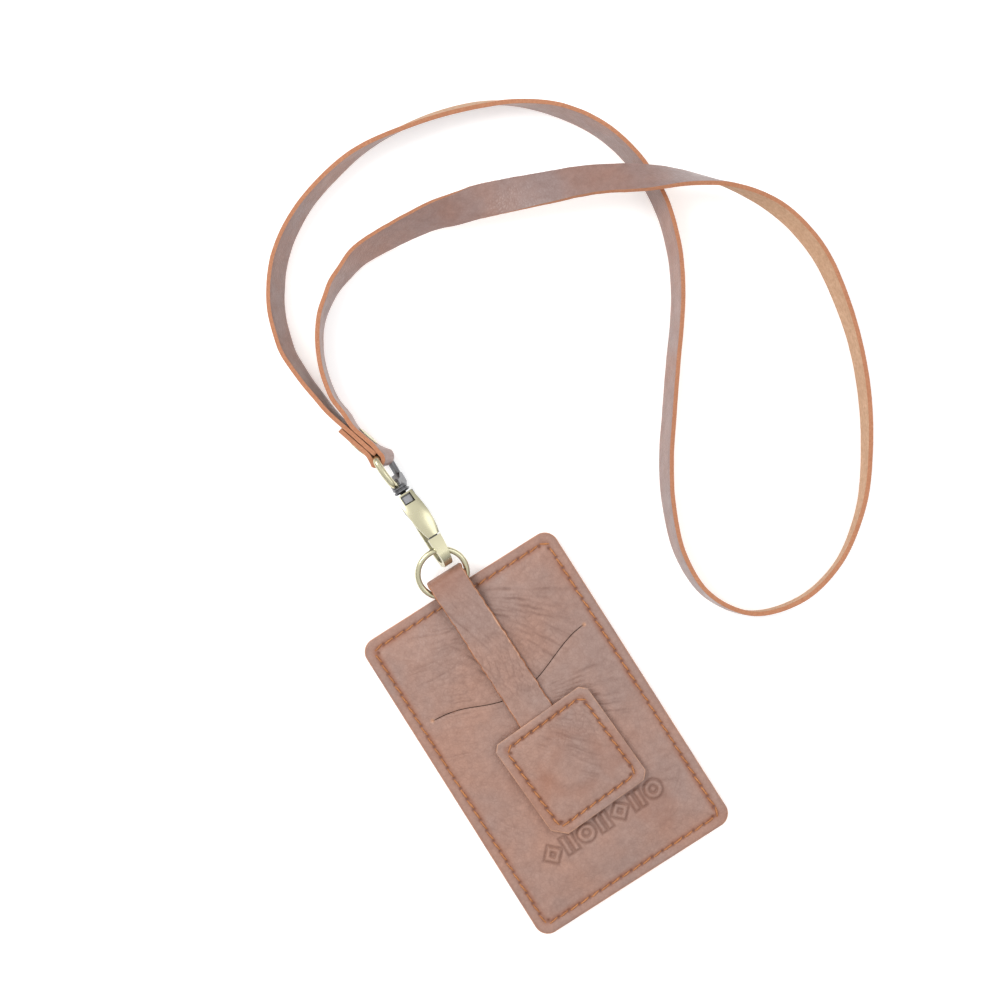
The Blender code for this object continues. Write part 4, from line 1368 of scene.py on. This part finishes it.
def clasp_part(name, parts, mat, degrees, rounding=0.0):
    """A small metal piece turned about the swivel's axis, its hard edges rounded if asked."""
    piece = mesh_piece(name, *parts, [mat])
    if rounding:
        soften(piece, rounding)
    roll(piece, degrees)
    return piece


def on_swivel(profile, y, steps=40):
    """A round solid on the swivel's axis that starts at y."""
    return turned(profile, (CLASP_X, y, CLASP_Z), (0, 1, 0), steps)


def build_ring():
    """The wire ring, leaning on the tab's fold."""
    path = []
    for i in range(120):
        a = 2 * math.pi * i / 120
        out = RING_R * (1 + math.sin(a))
        y = RING_SOUTH_Y + out * math.cos(RING_TILT)
        path.append((RING_X + RING_R * math.cos(a), y, RING_SOUTH_Z + out * math.sin(RING_TILT)))
    ring = mesh_piece("ring_wire", *tube(path, RING_WIRE, 24, closed=True), [BRASS_MAT])
    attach(ring, "ring")
    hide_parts("o_ring")


def build_hook():
    """The hook: a curl and its spine, a wider slotted head for the lever, and the swivel's bore."""
    curl = arc(HOOK_Y, HOOK_Z, HOOK_OUT, 100, 270, 28)
    spine = [(73.0, 2.75), (77.0, 2.75), (80.5, 3.1), (84.0, 4.0), (88.5, 4.8)]
    inner = [(88.5, 12.2), (83.2, 12.2), (83.2, 6.4), (80.0, 5.0), (76.5, 4.6), (72.5, 4.5)]
    inner += arc(HOOK_Y, HOOK_Z, HOOK_IN, 270, 100, 24)
    nose = [(69.5, 12.25), (71.9, 12.3), (71.9, 14.1), (69.5, 14.0)]
    outline = curl + spine + inner + nose
    body = mesh_piece("hook_metal", *side_prism(outline, CLASP_X - 1.7, CLASP_X + 1.7), [BRASS_MAT])
    for vert in body.data.vertices:
        y = vert.co.y / MM - HOLDER_Y
        if vert.co.z / MM > 6.0 and y < 78.0:
            width = 0.86 + 0.42 * float(ramp(y, 62.0, 71.6))
            vert.co.x = (CLASP_X + (vert.co.x / MM - CLASP_X) * width) * MM
    head = [(79.6, 8.8), (83.0, 5.2), (88.6, 5.2), (88.6, 12.2), (81.6, 12.2), (79.6, 11.2)]
    combine(body, side_prism(head, CLASP_X - 2.6, CLASP_X + 2.6), "UNION")
    combine(body, block((CLASP_X - 1.75, 79.0, 6.2), (CLASP_X + 1.75, 86.2, 16.0)), "DIFFERENCE")
    combine(body, on_swivel([(1.25, 0), (1.25, 8)], 84.0), "DIFFERENCE")
    soften(body, 0.28)
    # Faces past HOOK_DARK_FROM take the dark metal as painted shade on the hook's slotted end.
    body.data.materials.append(DARK_MAT)
    for face in body.data.polygons:
        if face.center.y / MM - HOLDER_Y > HOOK_DARK_FROM:
            face.material_index = 1
    roll(body, HOOK_ROLL)
    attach(body, "hook")
    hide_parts("hook_body")


def build_gate():
    """The bowed lever: leaf-shaped and crowned, with a window over the swivel's head."""
    steps = 36
    span = 12
    loops = []
    for i in range(steps + 1):
        t = i / steps
        y = 72.4 + 16.1 * t
        top = 13.85 + 1.4 * math.sin(math.pi * (0.06 + 0.86 * t)) ** 1.2
        half = float(np.interp(t, (0.0, 0.10, 0.28, 0.5, 0.72, 1.0), (1.95, 2.45, 3.0, 3.25, 3.2, 2.95)))
        middle = CLASP_X - LEVER_SKEW * (y - 76.0)
        across = [-1 + 2 * k / span for k in range(span + 1)]
        loop = [(middle + w * half, y, top - 0.55 * abs(w) ** 2.4) for w in across]
        loop += [(middle + w * half, y, top - 1.5) for w in across[::-1]]
        loops.append(loop)
    gate = mesh_piece("gate_metal", *skin(loops), [BRASS_MAT])
    web = [(80.0, 14.0), (80.1, 9.6)] + arc(PIVOT_Y, PIVOT_Z, 1.5, 205, 335, 10) + [(82.9, 9.6), (83.0, 14.0)]
    combine(gate, side_prism(web, CLASP_X - 1.5, CLASP_X - 0.1), "UNION")
    window_x = CLASP_X - LEVER_SKEW * 10.3
    combine(gate, block((window_x - 1.85, 84.8, 10.0), (window_x + 1.85, 88.0, 18.0)), "DIFFERENCE")
    soften(gate, 0.2)
    sharpen_steep(gate.data, 50.0)
    roll(gate, HOOK_ROLL)
    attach(gate, "gate")
    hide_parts("gate_lever")


def build_small_metal():
    """The lever's pin, spring, catch and stop, and the swivel's post."""
    pin = [(0.1, -0.05), (0.45, 0.0), (0.6, 0.12), (0.6, 5.08), (0.45, 5.2), (0.1, 5.25)]
    parts = turned(pin, (CLASP_X - 2.6, PIVOT_Y, PIVOT_Z), (1, 0, 0), 24)
    piece = clasp_part("gate_pin_metal", parts, STEEL_MAT, HOOK_ROLL)
    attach(piece, "hook")
    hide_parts("gate_pin")

    coil = []
    for i in range(121):
        a = 2 * math.pi * i / 40
        coil.append((CLASP_X + 0.2 + 0.4 * i / 40, PIVOT_Y + math.cos(a), PIVOT_Z + math.sin(a)))
    spring = clasp_part("gate_coil", tube(coil, 0.15, 10), STEEL_MAT, HOOK_ROLL)
    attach(spring, "hook")
    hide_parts("gate_spring")

    bar = block((CLASP_X - 1.5, 70.6, 11.9), (CLASP_X + 1.5, 73.2, 12.48))
    catch = clasp_part("nose_catch", bar, DARK_MAT, HOOK_ROLL)
    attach(catch, "hook")

    brick = block((CLASP_X - 2.0, 85.1, 9.6), (CLASP_X + 0.9, 87.7, 13.0))
    stop = clasp_part("gate_stop_block", brick, STEEL_MAT, HOOK_ROLL, 0.25)
    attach(stop, "hook")

    post = [(0.2, -0.1), (1.2, 0.0), (1.6, 0.3), (1.6, 1.2), (1.45, 1.4), (1.05, 1.5), (1.05, 7.5)]
    rivet = clasp_part("swivel_post", on_swivel(post + [(0.7, 7.7)], 84.4), STEEL_MAT, -EYE_LEAN)
    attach(rivet, "eye")
    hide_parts("swivel_rivet")


def dress_hidden_parts():
    """The film and the magnets keep their CAD shapes and take a material each."""
    for node, mat in (("window_film", FILM_MAT), ("holder_magnet", STEEL_MAT), ("flap_magnet", STEEL_MAT)):
        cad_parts[node].data.materials.clear()
        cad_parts[node].data.materials.append(mat)


def build_eye():
    """The clasp's wire loop, leaning about the swivel's axis, its far half in the dark metal as painted
    shade.
    """
    tall = STRAP_W / 2 + 1.3
    bend = 2.0
    upper = arc(EYE_BAR_Y - bend, tall - bend, bend, 0, 90, 10)
    upper += [(97.2, tall - 0.1), (94.6, tall - 1.0), (92.9, 4.7), (92.2, 2.6), (92.0, 0.0)]
    lower = [(y, -z) for y, z in upper[::-1]]
    line = lower[1:] + [(EYE_BAR_Y, -2), (EYE_BAR_Y, 2)] + upper
    wire = smooth_points([(CLASP_X, y, CLASP_Z + z) for y, z in line], 0.5)
    verts, faces = tube(wire, EYE_WIRE + 0.12, 20)
    # faces below the swivel's axis take the dark metal: painted shade on the loop's far half
    dark = [int(np.mean([verts[k][2] for k in face]) < CLASP_Z) for face in faces]
    eye = mesh_piece("eye_wire", verts, faces, [BRASS_MAT, DARK_MAT], dark)
    roll(eye, -EYE_LEAN)
    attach(eye, "eye")
    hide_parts("swivel_eye")


def build_eye_base():
    """The dark casting under the wire loop: a collar, a web and the post's peened end."""
    profile = [(1.3, -0.1), (2.3, 0.0), (2.65, 0.25), (2.65, 0.75), (2.2, 0.95), (2.2, 1.15), (2.55, 1.4)]
    profile += [(2.55, 2.1), (2.2, 2.6), (1.7, 3.4), (1.2, 3.6)]
    base = mesh_piece("eye_collar", *on_swivel(profile, 89.3), [DARK_MAT])
    sharpen_steep(base.data, 40.0)
    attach(base, "eye")

    web = [(90.8, -3.4), (92.0, -5.6), (95.4, -5.9), (95.8, -4.2), (94.0, -1.2), (93.4, 2.6), (91.6, 3.4)]
    outline = [(y, CLASP_Z + z) for y, z in web]
    parts = side_prism(outline, CLASP_X - 1.7, CLASP_X + 1.7)
    bridge = clasp_part("eye_web", parts, DARK_MAT, -EYE_LEAN, 0.35)
    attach(bridge, "eye")

    nut = [(0.2, 0.0), (1.25, 0.0), (1.45, 0.2), (1.45, 1.1), (1.1, 1.4), (0.2, 1.45)]
    peen = clasp_part("eye_post_end", on_swivel(nut, 92.6, 6), DARK_MAT, -EYE_LEAN)
    sharpen_steep(peen.data, 25.0)
    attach(peen, "eye")


# ---- everything --------------------------------------------------------------------------
def main():
    """Builds every piece."""
    build_camera()
    strap, path, length = build_strap()
    caps = build_rivet()
    build_stage()
    build_front()
    build_back()
    build_layers()
    build_border_thread()
    build_tab()
    build_patch()
    build_patch_back()
    build_patch_thread()
    build_ring()
    build_hook()
    build_gate()
    build_small_metal()
    dress_hidden_parts()
    build_eye()
    build_eye_base()


main()
